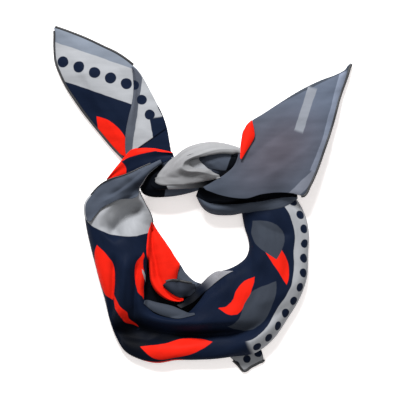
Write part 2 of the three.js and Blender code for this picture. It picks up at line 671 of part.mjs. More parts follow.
// Flap inside the band, with a dark valley between its ridge and the band's inner side
const bandInside = bandProfile.find(({ across }) => across === -1);
const bandOutside = bandProfile.find(({ across }) => across === 1);
const flapHole = follow(flapSections, "bearing", "hole");
const flapRidge = follow(flapSections, "bearing", "ridge");
const flapRise = follow(flapProfile, "share", "rise");
const flapGrid = ringGrid(flapSections[0].bearing, flapSections.at(-1).bearing, 22, 6, (bearing, share) => {
  const inner = flapHole(bearing) * holeRadius;
  const outer = bandHole(bearing) * holeRadius - 2 * gap;
  const seam = bandInside.rise * bandStands(bearing) * bandHeight + wall / 2;
  const free = flapRise(share) * flapRidge(bearing) * flapHeight;
  return {
    radius: inner + (outer - inner) * share,
    z: Math.max(share === 1 ? seam : free, wall + gap),
  };
});
addSheet("inner_flap", flapGrid, vermilion);

// Pocket leaf on the flap
const pocket = leafGrid(
  pocketPlace, pocketBearing, pocketLength, pocketWidth, pocketRise, pocketSections, 10, 6,
);
addSheet("pocket_fold", pocket, slate);
addPiece("hem_pocket", hemAlong(pocket, 1, 9, 0), hemThread);

// Hemmed corner that lies out from under the band
const cornerReaches = follow(cornerSections, "bearing", "reach");
const corner = ringGrid(
  cornerSections[0].bearing, cornerSections.at(-1).bearing, 14, 4, (bearing, share) => {
    const edge = bandHole(bearing) * holeRadius + bandSpan(bearing) * bandWidth + 2 * gap;
    const seam = bandOutside.rise * bandStands(bearing) * bandHeight + wall / 2;
    return {
      radius: edge + share * cornerReaches(bearing) * cornerReach,
      z: share === 0 ? seam : sheetRest,
    };
  },
);
addSheet("loop_corner", corner, paleGrey);
addPiece("hem_corner", hemAlong(corner, 1, 13, 4, 3), hemThread);

// Upper strand on the left of the band
const strandEdge = follow(strandSections, "bearing", "edge");
const strandGrid = ringGrid(
  strandSections[0].bearing, strandSections.at(-1).bearing, 18, 6, (bearing, share) => {
    const edge = Math.min(strandEdge(bearing), 0.93);
    const across = edge + (0.97 - edge) * share;
    return { radius: bandHole(bearing) * holeRadius + across * bandSpan(bearing) * bandWidth, z: 0 };
  },
);
addSheet("strand_fold", strandGrid, slate);

// Roll of cloth below the right tail, over the right end of the band
// Its crest is near the outer edge, and it dips into a dark slot before it goes under the tail.
const rollProfile = [
  { share: 0, rise: 0.1 },
  { share: 0.15, rise: 0.75 },
  { share: 0.3, rise: 1.0 },
  { share: 0.45, rise: 0.8 },
  { share: 0.65, rise: 0.1 },
  { share: 0.85, rise: 0.1 },
  { share: 1, rise: 0.4 },
];
addSheet("right_tail_roll", foldGrid(rollSections, 16, 7, follow(rollProfile, "share", "rise")), slate);

// Heart of the knot: the start of the right tail, seen through the wrap
const heart = leafGrid(heartPlace, heartBearing, heartLength, heartWidth, knotHeight, heartSections, 10, 6);
addSheet("knot_heart", heart, slate);

// Right tail: a folded corner that slopes from the knot over the band to the surface
const rightTail = leafGrid(
  rightTailPlace, rightTailBearing, rightTailLength, rightTailWidth, knotHeight, rightTailSections, tailSteps, 8,
);
addSheet("right_tail", rightTail, slate);
addPiece("hem_right_tail", hemAlong(rightTail, 9, tailSteps, 8), hemThread);
addSheet("right_tail_turn", foldGrid(tailTurnSections, 10, 4), vermilion);

// Folds of the knot, over its core and heart
addSheet("knot_wrap", foldGrid(wrapSections, 18, 8), paleGrey);
addSheet("knot_lip", foldGrid(lipSections, 8, 4), slate);

// The origin is on the surface, below the middle of the neckerchief's box.
const box = new THREE.Box3().setFromObject(kerchief);
const middleOfBox = box.getCenter(new THREE.Vector3());
kerchief.position.set(-middleOfBox.x, -middleOfBox.y, 0);

export default kerchief;
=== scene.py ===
# %% [markdown]
# A silk neckerchief, tied in a half knot and laid down on a white table. The real one is a square of
# printed twill with a hand-rolled hem, folded on the diagonal into a soft band that goes round in a loop.
# A cloth simulation could drape it, but a knot tied that way can't be steered fold by fold. So this
# lesson lays the cloth down as a dresser does: what lies lowest comes first, and each fold is laid on
# those below it. The frame holds plain solids of the same object, and their box is measured before
# anything is added.

# %% Load the frame
import math

import bpy
import numpy as np
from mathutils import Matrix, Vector
from mathutils.bvhtree import BVHTree


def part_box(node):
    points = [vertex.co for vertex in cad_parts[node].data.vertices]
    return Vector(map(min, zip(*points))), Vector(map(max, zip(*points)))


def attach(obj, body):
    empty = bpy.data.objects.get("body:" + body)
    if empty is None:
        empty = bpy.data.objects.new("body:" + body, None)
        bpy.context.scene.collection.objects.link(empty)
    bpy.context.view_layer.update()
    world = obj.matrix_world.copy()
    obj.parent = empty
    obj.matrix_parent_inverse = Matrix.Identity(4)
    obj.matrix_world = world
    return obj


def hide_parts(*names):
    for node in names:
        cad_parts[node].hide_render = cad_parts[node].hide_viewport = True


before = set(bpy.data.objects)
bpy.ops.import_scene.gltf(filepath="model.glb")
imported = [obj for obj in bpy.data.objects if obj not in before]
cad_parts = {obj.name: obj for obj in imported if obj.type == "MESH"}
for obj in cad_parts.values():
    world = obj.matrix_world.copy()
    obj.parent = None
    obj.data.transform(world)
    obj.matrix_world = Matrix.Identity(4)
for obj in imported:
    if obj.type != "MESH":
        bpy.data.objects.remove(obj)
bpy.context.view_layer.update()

print("solids in the frame:", len(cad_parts))

# %% [markdown]
# A dresser measures from the middle of the neck hole, so every piece has its plan in millimetres from
# there. Sizes could be read off each solid in turn, but a few driving sizes, and shares of them, keep the
# folds in step with each other. Only the place of the hole comes from the frame: the knot's core is even
# about its own middle, so its box says where the hole's middle is.

# %% Named sizes, in millimetres
MM = 0.001
HOLE_RADIUS = 50
BAND_WIDTH = 60
BAND_HEIGHT = 20
BAND_REACH = HOLE_RADIUS + BAND_WIDTH
STRAND_LIFT = 17
KNOT_LENGTH, KNOT_DEPTH, KNOT_HEIGHT = 84, 42, 42
CORE_LENGTH, CORE_DEPTH, CORE_HEIGHT, CORE_BEARING = 104, 40, 29, 19.5
HEM = 2.6
SILK = 0.4
CLEAR = 0.25

CORE_PLACE = np.array([-0.118, 0.64]) * BAND_REACH
KNOT_PLACE = np.array([-0.045, 0.71]) * BAND_REACH
core_low, core_high = (np.array(corner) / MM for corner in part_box("knot_core"))
HOLE_MIDDLE = (core_low + core_high)[:2] / 2 - CORE_PLACE
print("middle of the neck hole in the frame, mm:", HOLE_MIDDLE.round(2))

# %% [markdown]
# A fold changes its width and height as it goes. It could be pushed about vertex by vertex, or be a
# bevelled curve, but sections of cloth aren't round. Here a short table holds a few sections, one row for
# each, as shares of the named sizes. A smooth curve through each column then gives as many sections as
# the fine cloth needs, without swinging far past its rows.

# %% Tables and curves through them
def table(columns, rows):
    """One array for each named column."""
    return dict(zip(columns.split(), np.array(rows, float).T))


def follow(rows, key, column):
    """A smooth curve through one column, as a function of another."""
    order = np.argsort(rows[key])
    places, values = rows[key][order], rows[column][order]
    slopes = np.gradient(values, places)
    slopes[1:-1] = (values[2:] - values[:-2]) / (places[2:] - places[:-2])

    def value(place):
        at = np.clip(place, places[0], places[-1])
        i = np.clip(np.searchsorted(places, at, side="right") - 1, 0, len(places) - 2)
        span = places[i + 1] - places[i]
        t = (at - places[i]) / span
        bend = t * t * (3 - 2 * t)
        pull = t * (1 - t) ** 2 * slopes[i] + t * t * (t - 1) * slopes[i + 1]
        return values[i] + (values[i + 1] - values[i]) * bend + pull * span

    return value


def turned_to(degrees):
    """The unit vector at a bearing."""
    angle = np.radians(degrees)
    return np.stack([np.cos(angle), np.sin(angle)], axis=-1)


rise_and_fall = table("at height", [(0, 0), (1, 1), (2, 0)])
print("a smooth rise and fall:", follow(rise_and_fall, "at", "height")(np.linspace(0, 2, 9)).round(2))

# %% [markdown]
# Silk never lies quite flat. A displacement texture would move all of it alike, and a bump would not show
# in the outline. Two formulas do better: long soft ripples, made of a few waves whose direction and
# length differ a little, and creases, each a pressed line from one place to another. They read the plan
# of a sheet, or the flat coordinates of its cloth, which follow it where it is curled.

# %% Ripples and creases
def ripples(u, v, seed, length, turn, depth, spread=16, count=7):
    """Soft waves: length in mm, turn is the direction across them in degrees, depth in mm."""
    rng = np.random.default_rng(seed)
    total = np.zeros_like(u)
    for _ in range(count):
        angle = math.radians(turn + rng.normal(0, spread))
        pace = 2 * math.pi / (length * rng.uniform(0.6, 1.7))
        drift = 2 * math.pi / (length * rng.uniform(3, 6))
        along = u * math.cos(angle) + v * math.sin(angle)
        aside = v * math.cos(angle) - u * math.sin(angle)
        sway = 1.4 * np.sin(drift * aside + rng.uniform(0, 6.3))
        swell = 0.6 + 0.4 * np.sin(drift * 1.3 * along + rng.uniform(0, 6.3))
        total += swell * np.sin(pace * along + sway + rng.uniform(0, 6.3))
    return depth * total / math.sqrt(count)


def crease(u, v, start, end, depth, width, bow=0.0):
    """A pressed line from start to end: a negative depth is a valley. bow bends it sideways, in mm."""
    start, end = np.array(start, float), np.array(end, float)
    run = end - start
    size = math.hypot(*run)
    share = ((u - start[0]) * run[0] + (v - start[1]) * run[1]) / size**2
    off = ((v - start[1]) * run[0] - (u - start[0]) * run[1]) / size - bow * 4 * share * (1 - share)
    fade = np.clip(share * 4, 0, 1) * np.clip((1 - share) * 4, 0, 1)
    fade = fade * fade * (3 - 2 * fade)
    return depth * fade * np.exp(-np.abs(off / width) ** 1.4)


def worked(grid, waves=(), creases=(), flat=None):
    """The grid with ripples and creases in its height, by its plan or by flat coordinates in metres.

    A wave is (seed, length, turn, depth), and a crease is (start, end, depth, width, bow).
    """
    u, v = np.moveaxis(grid[..., :2] if flat is None else flat / MM, -1, 0)
    for wave in waves:
        grid[..., 2] += ripples(u, v, *wave)
    for line in creases:
        grid[..., 2] += crease(u, v, *line)
    return grid


def ridged(grid, *ridges, along=1.0):
    """The grid with ridges along it: each is a height in mm, a place and a half width as shares across."""
    share = np.linspace(0, 1, grid.shape[1])[None, :]
    for height, place, width in ridges:
        grid[..., 2] += along * height * np.exp(-((share - place) / width) ** 2)
    return grid


trial = worked(np.dstack([*np.indices((90, 90), float), np.zeros((90, 90))]), [(1, 30, 0, 1.0)])
print("ripples of depth 1 mm reach, mm:", trial[..., 2].min().round(2), "to", trial[..., 2].max().round(2))

# %% [markdown]
# A sheet of cloth starts as a grid of points. A Solidify modifier could thicken it, but the rim and the
# coordinates of the print are easier to keep right when the whole mesh is made at once. The thickness is
# laid off square to the cloth and the rim is closed all round, so each piece is one closed body, as its
# STL file needs.

# %% From a grid to a piece of cloth
def square_to(grid):
    """The unit vector square to the cloth at each point."""
    across = np.cross(np.gradient(grid, axis=0), np.gradient(grid, axis=1))
    return across / np.maximum(np.linalg.norm(across, axis=2, keepdims=True), 1e-9)


def put_in_scene(name, data):
    """A new object for a mesh, a curve, a lamp or a camera."""
    made = bpy.data.objects.new(name, data)
    bpy.context.scene.collection.objects.link(made)
    return made


def smooth(mesh):
    """Shade all faces of a mesh as one soft surface."""
    mesh.polygons.foreach_set("use_smooth", np.ones(len(mesh.polygons), bool))


def cloth_mesh(name, grid, flat, material, thick=SILK):
    """A closed thin body from a grid in mm, with its flat coordinates in metres as UVs."""
    normal = square_to(grid)
    if normal[..., 2].mean() < 0:
        grid, flat, normal = grid[::-1], flat[::-1], -normal[::-1]
    rows, columns = grid.shape[:2]
    lower = grid - normal * thick
    places = np.concatenate([grid.reshape(-1, 3), lower.reshape(-1, 3)])
    places[:, :2] += HOLE_MIDDLE
    index = np.arange(rows * columns).reshape(rows, columns)
    below = index + rows * columns

    def quads(a, b, c, d):
        return np.stack([a.ravel(), b.ravel(), c.ravel(), d.ravel()], axis=1)

    faces = np.concatenate([
        quads(index[:-1, :-1], index[1:, :-1], index[1:, 1:], index[:-1, 1:]),
        quads(below[:-1, :-1], below[:-1, 1:], below[1:, 1:], below[1:, :-1]),
        quads(index[:-1, 0], below[:-1, 0], below[1:, 0], index[1:, 0]),
        quads(index[:-1, -1], index[1:, -1], below[1:, -1], below[:-1, -1]),
        quads(index[0, :-1], index[0, 1:], below[0, 1:], below[0, :-1]),
        quads(index[-1, :-1], below[-1, :-1], below[-1, 1:], index[-1, 1:]),
    ])
    mesh = bpy.data.meshes.new(name)
    mesh.from_pydata((places * MM).tolist(), [], faces.tolist())
    uv = mesh.uv_layers.new(name="flat")
    both = np.concatenate([flat.reshape(-1, 2), flat.reshape(-1, 2)])
    corners = np.empty(len(mesh.loops), np.int32)
    mesh.loops.foreach_get("vertex_index", corners)
    uv.data.foreach_set("uv", both[corners].astype(np.float32).ravel())
    smooth(mesh)
    mesh.materials.append(material)
    mesh.update()
    return put_in_scene(name, mesh)


print("thickness of the silk, mm:", SILK)

# %% [markdown]
# Laying one fold on another is the heart of the work. A Shrinkwrap modifier could do it against a single
# piece, but here a fold lies on many. So every sheet that is done joins a pile, as a tree of its faces. A
# ray cast down at every point of a new sheet finds how high the pile stands there.

# %% The pile
RAY_FROM = 300
pile = []


def add_to_pile(grid):
    """Remember a laid sheet, in mm from the middle of the hole."""
    rows, columns = grid.shape[:2]
    index = np.arange(rows * columns).reshape(rows, columns)
    faces = np.stack([index[:-1, :-1], index[1:, :-1], index[1:, 1:], index[:-1, 1:]], axis=-1)
    pile.append(BVHTree.FromPolygons(grid.reshape(-1, 3).tolist(), faces.reshape(-1, 4).tolist()))


def pile_top(grid, trees):
    """How high the pile stands under each point."""
    down = Vector((0, 0, -1))
    tops = np.zeros(grid.shape[:2])
    for i, row in enumerate(grid):
        for j, (x, y, _) in enumerate(row):
            start = Vector((x, y, RAY_FROM))
            hits = (tree.ray_cast(start, down)[0] for tree in trees)
            tops[i, j] = max((hit.z for hit in hits if hit), default=0)
    return tops


print("rays start, mm above the table:", RAY_FROM)

# %% [markdown]
# Lifted point by point, a new sheet would step down sharply at every edge below it. Real silk tents over
# such an edge. So the lift is smoothed outwards, over and over, and never goes below what the pile asks
# for.

# %% Laying a sheet on the pile
def widened(field, cells):
    """Each value becomes the highest within some cells of it."""
    for _ in range(cells):
        padded = np.pad(field, 1, mode="edge")
        shifts = [padded[a:a + field.shape[0], b:b + field.shape[1]] for a in range(3) for b in range(3)]
        field = np.maximum.reduce(shifts)
    return field


def softened(field, cells):
    """Each value becomes the mean of its neighbours, over and over."""
    for _ in range(cells):
        padded = np.pad(field, 1, mode="edge")
        field = (padded[:-2, 1:-1] + padded[2:, 1:-1] + padded[1:-1, :-2] + padded[1:-1, 2:]
                 + 4 * padded[1:-1, 1:-1]) / 8
    return field


def lay(grid, skirt=3.0, rest=CLEAR):
    """Lift a grid so that it clears the pile, with a soft skirt, in mm, round what lifts it."""
    grid = grid.copy()
    cell = np.median(np.linalg.norm(np.diff(grid[..., :2], axis=0), axis=2))
    short = widened(pile_top(grid, pile), 1) + rest + SILK * 1.5 - grid[..., 2]
    lift = np.maximum(short, 0)
    for _ in range(int(2 * (skirt / cell) ** 2) + 1):
        lift = np.maximum(softened(lift, 2), short)
    grid[..., 2] += np.maximum(lift, 0)
    return grid


print("a lift of 1 mm, softened twice:", softened(np.pad([[1.0]], 3), 2)[3].round(3))

# %% [markdown]
# An edge that is a fold, not a cut, has no rim: the cloth turns round and goes back under itself. A bevel
# would only round the thin rim. A few more columns of points carry each such edge round a small bend
# instead, and take the print round with them.

# %% Turned edges
FIRST_EDGE, LAST_EDGE = 0, -1
TURN_STEPS = 7


def turned_edge(grid, flat, side, radius, sweep, steps=TURN_STEPS):
    """Carry one long edge of the grid round and under, with a radius in mm and a sweep in degrees."""
    inward = 1 if side == FIRST_EDGE else -2
    edge = grid[:, side]
    out = edge - grid[:, inward]
    out /= np.maximum(np.linalg.norm(out, axis=1, keepdims=True), 1e-9)
    up = square_to(grid)[:, side]
    up = np.where(up[:, 2:] < 0, -up, up)
    flat_out = flat[:, side] - flat[:, inward]
    flat_out /= np.maximum(np.linalg.norm(flat_out, axis=1, keepdims=True), 1e-9)
    grids, flats = [], []
    run_out = np.clip(4 * np.sin(np.linspace(0, math.pi, len(grid))), 0.12, 1)[:, None]
    radii = np.minimum(radius * run_out, np.maximum(edge[:, 2:] / 2 - 0.2, 0.25))
    for k in range(1, steps + 1):
        angle = math.radians(sweep * k / steps)
        grids.append(edge + radii * (math.sin(angle) * out + (math.cos(angle) - 1) * up))
        flats.append(flat[:, side] + flat_out * radii * angle * MM)
    more, more_flat = np.stack(grids, axis=1), np.stack(flats, axis=1)
    if side == FIRST_EDGE:
        return np.hstack([more[:, ::-1], grid]), np.hstack([more_flat[:, ::-1], flat])
    return np.hstack([grid, more]), np.hstack([flat, more_flat])


print("columns in a turned edge:", TURN_STEPS)

# %% [markdown]
# The print is screened, so it has flat shapes with crisp edges in a few colours: here a plain pattern of
# petals, bars and dots on navy, with slate and pale grey grounds where the border shows. Colours are
# easiest to name as a screen shows them, but a shader needs linear values, so one function turns the
# first into the second.

# %% Colours
def linear(red, green, blue):
    """A colour as it is named on screen, from 0 to 255, in the values that shaders use."""
    shares = np.array([red, green, blue]) / 255
    return (*np.where(shares < 0.04045, shares / 12.92, ((shares + 0.055) / 1.055) ** 2.4), 1.0)


NAVY = linear(16, 24, 41)
# Near-black: the dark cloth of the hems, and painted shade in deep gaps, hollows and under folds.
BLACK_AND_SHADE = linear(7, 9, 14)
VERMILION = linear(208, 31, 18)
SLATE = linear(64, 70, 81)
DIM_SLATE = linear(52, 57, 66)
DEEP_SLATE = linear(38, 43, 53)
PALE = linear(143, 145, 149)
SHOWN_THROUGH = linear(74, 72, 81)
HEM_THREAD = linear(14, 16, 23)
print("navy in the shader's values:", np.round(NAVY[:3], 4))

# %% [markdown]
# Materials and hems are both built of nodes. By hand each one takes several lines: make it, set it, link
# it. One short function does all three and takes, for each input, either a value or what another node
# gives, so that a chain of nodes reads like a sum.

# %% Adding nodes
def set_inputs(tree, node, inputs):
    """Set each named input of a node to a value, or link it from another node's output."""
    for key, value in inputs.items():
        if isinstance(value, bpy.types.NodeSocket):
            tree.links.new(value, node.inputs[key])
        else:
            node.inputs[key].default_value = value


def add_node(tree, kind, inputs=(), **settings):
    """A new node of a tree, with its settings and inputs."""
    node = tree.nodes.new(kind)
    for key, value in settings.items():
        setattr(node, key, value)
    set_inputs(tree, node, dict(inputs))
    return node


def new_material(name):
    """A new material, its node tree and its shader."""
    made = bpy.data.materials.new(name)
    made.use_nodes = True
    return made, made.node_tree, made.node_tree.nodes["Principled BSDF"]

# %% [markdown]
# A motif could be painted in an image, but an image blurs close up. A few nodes are sharp at any size.
# They read the flat coordinates of the cloth, turned and scaled so that the rim of the shape is at 1. A
# screen leaves a crisp edge, and only a glow is soft: it stands for cloth behind showing through, or for
# painted shade.

# %% One motif of the print
SCREEN_EDGE = 0.35
SOFT_GLOW = 0.9
FAR = 1000


def printed(tree, where, under, motif):
    """The colour after one motif: what is under it outside the shape, and its own ink inside."""
    shape, place, half, turn, ink = motif
    reach = (half[1], half[1]) if shape == "dots" else half
    at = add_node(tree, "ShaderNodeMapping", {
        "Vector": where, "Location": (place[0] * MM, place[1] * MM, 0),
        "Rotation": (0, 0, math.radians(turn)), "Scale": (reach[0] * MM, reach[1] * MM, 1),
    }, vector_type="TEXTURE").outputs[0]
    if shape == "dots":
        step = half[0] / half[1]
        at = add_node(tree, "ShaderNodeVectorMath", {0: at, 1: (step, FAR, 1), 2: (-step, -FAR, -1)},
                      operation="WRAP").outputs[0]
    if shape in ("disc", "dots", "glow"):
        out = add_node(tree, "ShaderNodeVectorMath", {0: at}, operation="LENGTH").outputs["Value"]
    else:
        sides = add_node(tree, "ShaderNodeVectorMath", {0: at}, operation="ABSOLUTE").outputs[0]
        u, v, _ = add_node(tree, "ShaderNodeSeparateXYZ", {0: sides}).outputs
        sums = {0: u, 1: u, 2: v} if shape == "petal" else {0: u, 1: v}
        out = add_node(tree, "ShaderNodeMath", sums,
                       operation="MULTIPLY_ADD" if shape == "petal" else "MAXIMUM").outputs[0]
    soft = SOFT_GLOW if shape == "glow" else SCREEN_EDGE / min(reach)
    inside = add_node(tree, "ShaderNodeMapRange", {"Value": out, "From Min": 1 + soft, "From Max": 1 - soft},
                      interpolation_type="SMOOTHSTEP").outputs[0]
    return add_node(tree, "ShaderNodeMix", {"Factor": inside, "A": under, "B": ink},
                    data_type="RGBA").outputs["Result"]


print("soft share of a screened edge, on a dot of 5 mm:", round(SCREEN_EDGE / 5, 3))

# %% [markdown]
# The silk is a fine twill: a diagonal rib with small slubs. Modelled threads would be far too small to
# see, so a slight bump stands for them. The dye takes unevenly along the threads, and a breath of noise
# makes the edges of the print as uneven as a hand-cut screen does. Its shine is low and broad, because a
# strong one would turn the dark ground grey.

# %% The silk's material
WAVER = 0.0008
DYE_STREAK = 0.16
RIB, SLUB = 420, 260


def silk(name, ground, motifs):
    """Printed twill: the ground colour, then each motif over the last.

    A motif is (shape, (u, v) in mm, (half length, half width) in mm, turn in degrees, colour), where shape
    is petal, disc, glow, box or dots. Dots repeat along their own length, and their half length is half the
    step. A glow is a disc with a soft edge, and a petal is round at its sides and pointed at its ends.
    """
    made, tree, shader = new_material(name)
    flat = add_node(tree, "ShaderNodeUVMap", uv_map="flat").outputs["UV"]
    noise = add_node(tree, "ShaderNodeTexNoise", {"Vector": flat, "Scale": 90}).outputs["Color"]
    waver = add_node(tree, "ShaderNodeVectorMath", {
        0: noise, 1: (2 * WAVER, 2 * WAVER, 0), 2: (-WAVER, -WAVER, 0)}, operation="MULTIPLY_ADD").outputs[0]
    where = add_node(tree, "ShaderNodeVectorMath", {0: flat, 1: waver}).outputs[0]
    colour = ground if motifs else ground[:3]
    for motif in motifs:
        colour = printed(tree, where, colour, motif)
    threads = add_node(tree, "ShaderNodeMapping", {"Vector": flat, "Scale": (14, 55, 1)}).outputs[0]
    cloudy = add_node(tree, "ShaderNodeTexNoise", {
        "Vector": threads, "Scale": 1.6, "Detail": 4}).outputs["Fac"]
    shade = add_node(tree, "ShaderNodeMapRange", {
        "Value": cloudy, "From Min": 0.25, "From Max": 0.75,
        "To Min": 1 - DYE_STREAK, "To Max": 1 + DYE_STREAK}).outputs[0]
    dyed = add_node(tree, "ShaderNodeVectorMath", {0: colour, "Scale": shade}, operation="SCALE").outputs[0]
    rib = add_node(tree, "ShaderNodeTexWave", {"Vector": flat, "Scale": RIB, "Distortion": 0.6},
                   bands_direction="DIAGONAL").outputs["Fac"]
    slub = add_node(tree, "ShaderNodeTexNoise", {"Vector": flat, "Scale": SLUB, "Detail": 3}).outputs["Fac"]
    weave = add_node(tree, "ShaderNodeMath", {0: rib, 1: slub}, operation="ADD").outputs[0]
    bump = add_node(tree, "ShaderNodeBump", {
        "Height": weave, "Strength": 0.25, "Distance": 0.0002}).outputs[0]
    set_inputs(tree, shader, {
        "Base Color": dyed, "Normal": bump, "Roughness": 0.47, "Specular IOR Level": 0.02,
        "Sheen Weight": 0.006, "Sheen Roughness": 0.4})
    return made


print("the dye varies from", 1 - DYE_STREAK, "to", 1 + DYE_STREAK, "of its tone")

# %% [markdown]
# Every fold ends with the same steps, so one function takes them: it turns the folded edges, prints the
# cloth, makes the mesh and adds it to the pile. It hangs the piece under the root, hides the solid that
# it stands for, and keeps how large its cloth is when spread out. A print laid on from above would
# stretch down the sides of a curl, so a curled sheet takes its flat coordinates from the length along its
# cloth.

# %% Finishing a piece of cloth
laid_areas = []


def plan_flat(grid):
    """Flat coordinates of a sheet that lies nearly flat: its plan."""
    return grid[..., :2] * MM


def run_along(points):
    """How far each point of a line is from its start, along the line."""
    return np.concatenate([[0], np.cumsum(np.linalg.norm(np.diff(points, axis=0), axis=1))])


def spread_flat(grid):
    """Flat coordinates of a curled sheet: the length along its middle and across each section."""
    along = run_along(grid[:, grid.shape[1] // 2])
    across = np.array([run_along(section) for section in grid])
    return np.dstack([np.broadcast_to(along[:, None], across.shape), across - across[:, -1:] / 2]) * MM


def rippled(grid, *wave):
    """A curled sheet with one set of ripples along its cloth, and its flat coordinates."""
    flat = spread_flat(grid)
    return worked(grid, [wave], flat=flat), flat


def finish_cloth(name, grid, ground, motifs=(), flat=None, turned=(),
                 replaces=None):
    """Make a piece of cloth, add it to the pile and hide the solids that it stands for.

    turned has the side, the radius and the sweep of each edge that is a fold. replaces names the solids
    that it stands for, where that isn't the one of its own name.
    """
    flat = plan_flat(grid) if flat is None else flat
    for side, radius, sweep in turned:
        grid, flat = turned_edge(grid, flat, side, radius, sweep)
    piece = cloth_mesh(name + "_silk", grid, flat, silk(name + "_print", ground, motifs))
    add_to_pile(grid)
    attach(piece, "root")
    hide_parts(*([name] if replaces is None else replaces))
    along, across = np.diff(grid, axis=0), np.diff(grid, axis=1)
    area = float(np.linalg.norm(np.cross(along[:, :-1], across[:-1]), axis=2).sum()) * MM * MM
    laid_areas.append(area)

# %% [markdown]
# A tail of the real cloth is a pointed leaf with a straight middle line. Its outline could be drawn and
# filled, but a filled face has no rows to bend. A table of sections across the middle line gives a fine
# grid instead, of about one point for each millimetre: enough for soft shading and for the rays.

# %% Leaves
def leaf(place, bearing, length, width, height, rows, cell=1.0):
    """A fine grid of a leaf: its sections across a straight middle line."""
    low, high = rows["along"].min(), rows["along"].max()
    steps = int((high - low) * length / cell)
    columns = int((rows["left"] + rows["right"]).max() * width / cell)
    along = np.linspace(low, high, steps + 1)[:, None]
    share = np.linspace(0, 1, columns + 1)[None, :]
    left, right, lift, arch = (follow(rows, "along", key)(along) for key in ("left", "right", "lift", "arch"))
    offset = (left - (left + right) * share) * width
    bulge = 1 - (2 * share - 1) ** 2
    height_here = (lift - arch * (1 - bulge)) * height
    forward = turned_to(bearing)
    aside = np.array([-forward[1], forward[0]])
    plan = place + along[..., None] * length * forward + offset[..., None] * aside
    return np.dstack([plan, np.maximum(height_here, SILK + CLEAR)])


plain_rows = table("along left right lift arch", [(0, 0.5, 0.5, 1, 0), (1, 0.5, 0.5, 1, 0)])
print("points of a plain leaf of 10 x 4 mm:", leaf(np.zeros(2), 0, 10, 4, 1, plain_rows).shape[:2])

# %% [markdown]
# A fold of the knot has no straight middle line. It could be a curve with a width, but its two free edges
# each wind at their own pace. So a table gives both edges, the cloth runs between them, and a crown
# bulges it. Some folds are given as shares of the knot, and those that wind through it by the places of
# their edges.

# %% Folds between two edges
def between(rows, ends, cell):
    """Even shares across a sheet between two edges, and each column of its table at even steps along."""
    longest = max(np.linalg.norm(np.diff(end, axis=0), axis=1).sum() for end in ends)
    broadest = np.linalg.norm(ends[0] - ends[1], axis=1).max()
    rows = dict(rows, at=np.linspace(0, 1, len(ends[0])))
    at = np.linspace(0, 1, int(longest / cell) + 1)[:, None]
    share = np.linspace(0, 1, int(broadest / cell) + 1)[None, :]
    return share, {key: follow(rows, "at", key)(at) for key in rows if key != "at"}


def fold(rows, cell=0.8, rise=None):
    """A fine grid of a fold of the knot, between its outer and inner edges."""
    half = np.array([KNOT_LENGTH, KNOT_DEPTH]) / 2
    ends = [np.stack([rows[side + "X"], rows[side + "Y"]], axis=1) * half for side in ("outer", "inner")]
    share, value = between(rows, ends, cell)
    x, y = (value["outer" + axis] + (value["inner" + axis] - value["outer" + axis]) * share for axis in "XY")
    bulge = 4 * share * (1 - share) if rise is None else rise(share)
    z = (value["lift"] - value["arch"] * (1 - bulge)) * KNOT_HEIGHT
    return np.dstack([KNOT_PLACE[0] + x * half[0], KNOT_PLACE[1] + y * half[1], z])


def strip(rows, cell=0.6, profile=None):
    """A fine grid between an outer edge (ox, oy, oz) and an inner one (ix, iy, iz) in mm, with a crown."""
    ends = [np.stack([rows[side + axis] for axis in "xyz"], axis=1) for side in "oi"]
    share, value = between(rows, ends, cell)
    bulge = 4 * share * (1 - share) if profile is None else profile(share)
    x, y, z = (value["o" + axis] + (value["i" + axis] - value["o" + axis]) * share for axis in "xyz")
    return np.dstack([x, y, z + value["crown"] * bulge])


plain_rows = table("ox oy oz ix iy iz crown", [(0, 0, 1, 0, 5, 1, 0), (10, 0, 1, 10, 5, 1, 0)])
print("points of a plain strip of 10 x 5 mm:", strip(plain_rows).shape[:2])

# %% [markdown]
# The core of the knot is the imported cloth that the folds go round. Little of it shows. A rounded block
# could fill the space, but its ends would look solid where they peep out. So it is one rolled sheet with
# lengthwise pleats, drawn together at both ends and open in a slit on its underside.

# %% Core of the knot
SLIT = 8
PLEAT_DEPTH, PLEAT_TWIST = 0.05, 2.5


def packed_roll(steps=70, around=90, pleats=7):
    """A rolled sheet round the core's middle line, with pleats along it."""
    along = np.linspace(-1, 1, steps + 1)[:, None]
    angle = np.radians(np.linspace(SLIT - 180, 180 - SLIT, around + 1))[None, :]
    swell = np.sqrt(np.clip(1 - 0.985 * along**2, 0, 1))
    pleated = PLEAT_DEPTH * (1 + np.cos(pleats * angle + PLEAT_TWIST * along)) * np.clip(1.4 * swell, 0, 1)
    pleated = 1 - pleated
    aside = swell * pleated * np.sin(angle) * CORE_DEPTH / 2
    up = swell * pleated * np.cos(angle) * CORE_HEIGHT / 2
    forward = turned_to(CORE_BEARING)
    side = np.array([-forward[1], forward[0]])
    plan = CORE_PLACE + (along * CORE_LENGTH / 2 + 0 * angle)[..., None] * forward + aside[..., None] * side
    grid = np.dstack([plan, np.maximum(up + CORE_HEIGHT / 2, SILK + CLEAR)])
    return grid[:, ::-1]


core = packed_roll()
finish_cloth("knot_core", core, DEEP_SLATE, [
    # The near-black box near its left end is painted shade, where the strand goes in under the knot.
    ("box", (12, 0), (16, 90), 8, BLACK_AND_SHADE),
    ("box", (54, 0), (22, 90), 24, SLATE),
], flat=spread_flat(core))

# %% [markdown]
# The left tail is one corner of the square. It comes out from under the loop and the knot, and lies down
# to its tip. A flat triangle would be quick, but the real one sags from the height of the knot to the
# table. So it is a leaf whose sections sink and flatten on the way. Its two outer edges are cut edges and
# get their hems later.

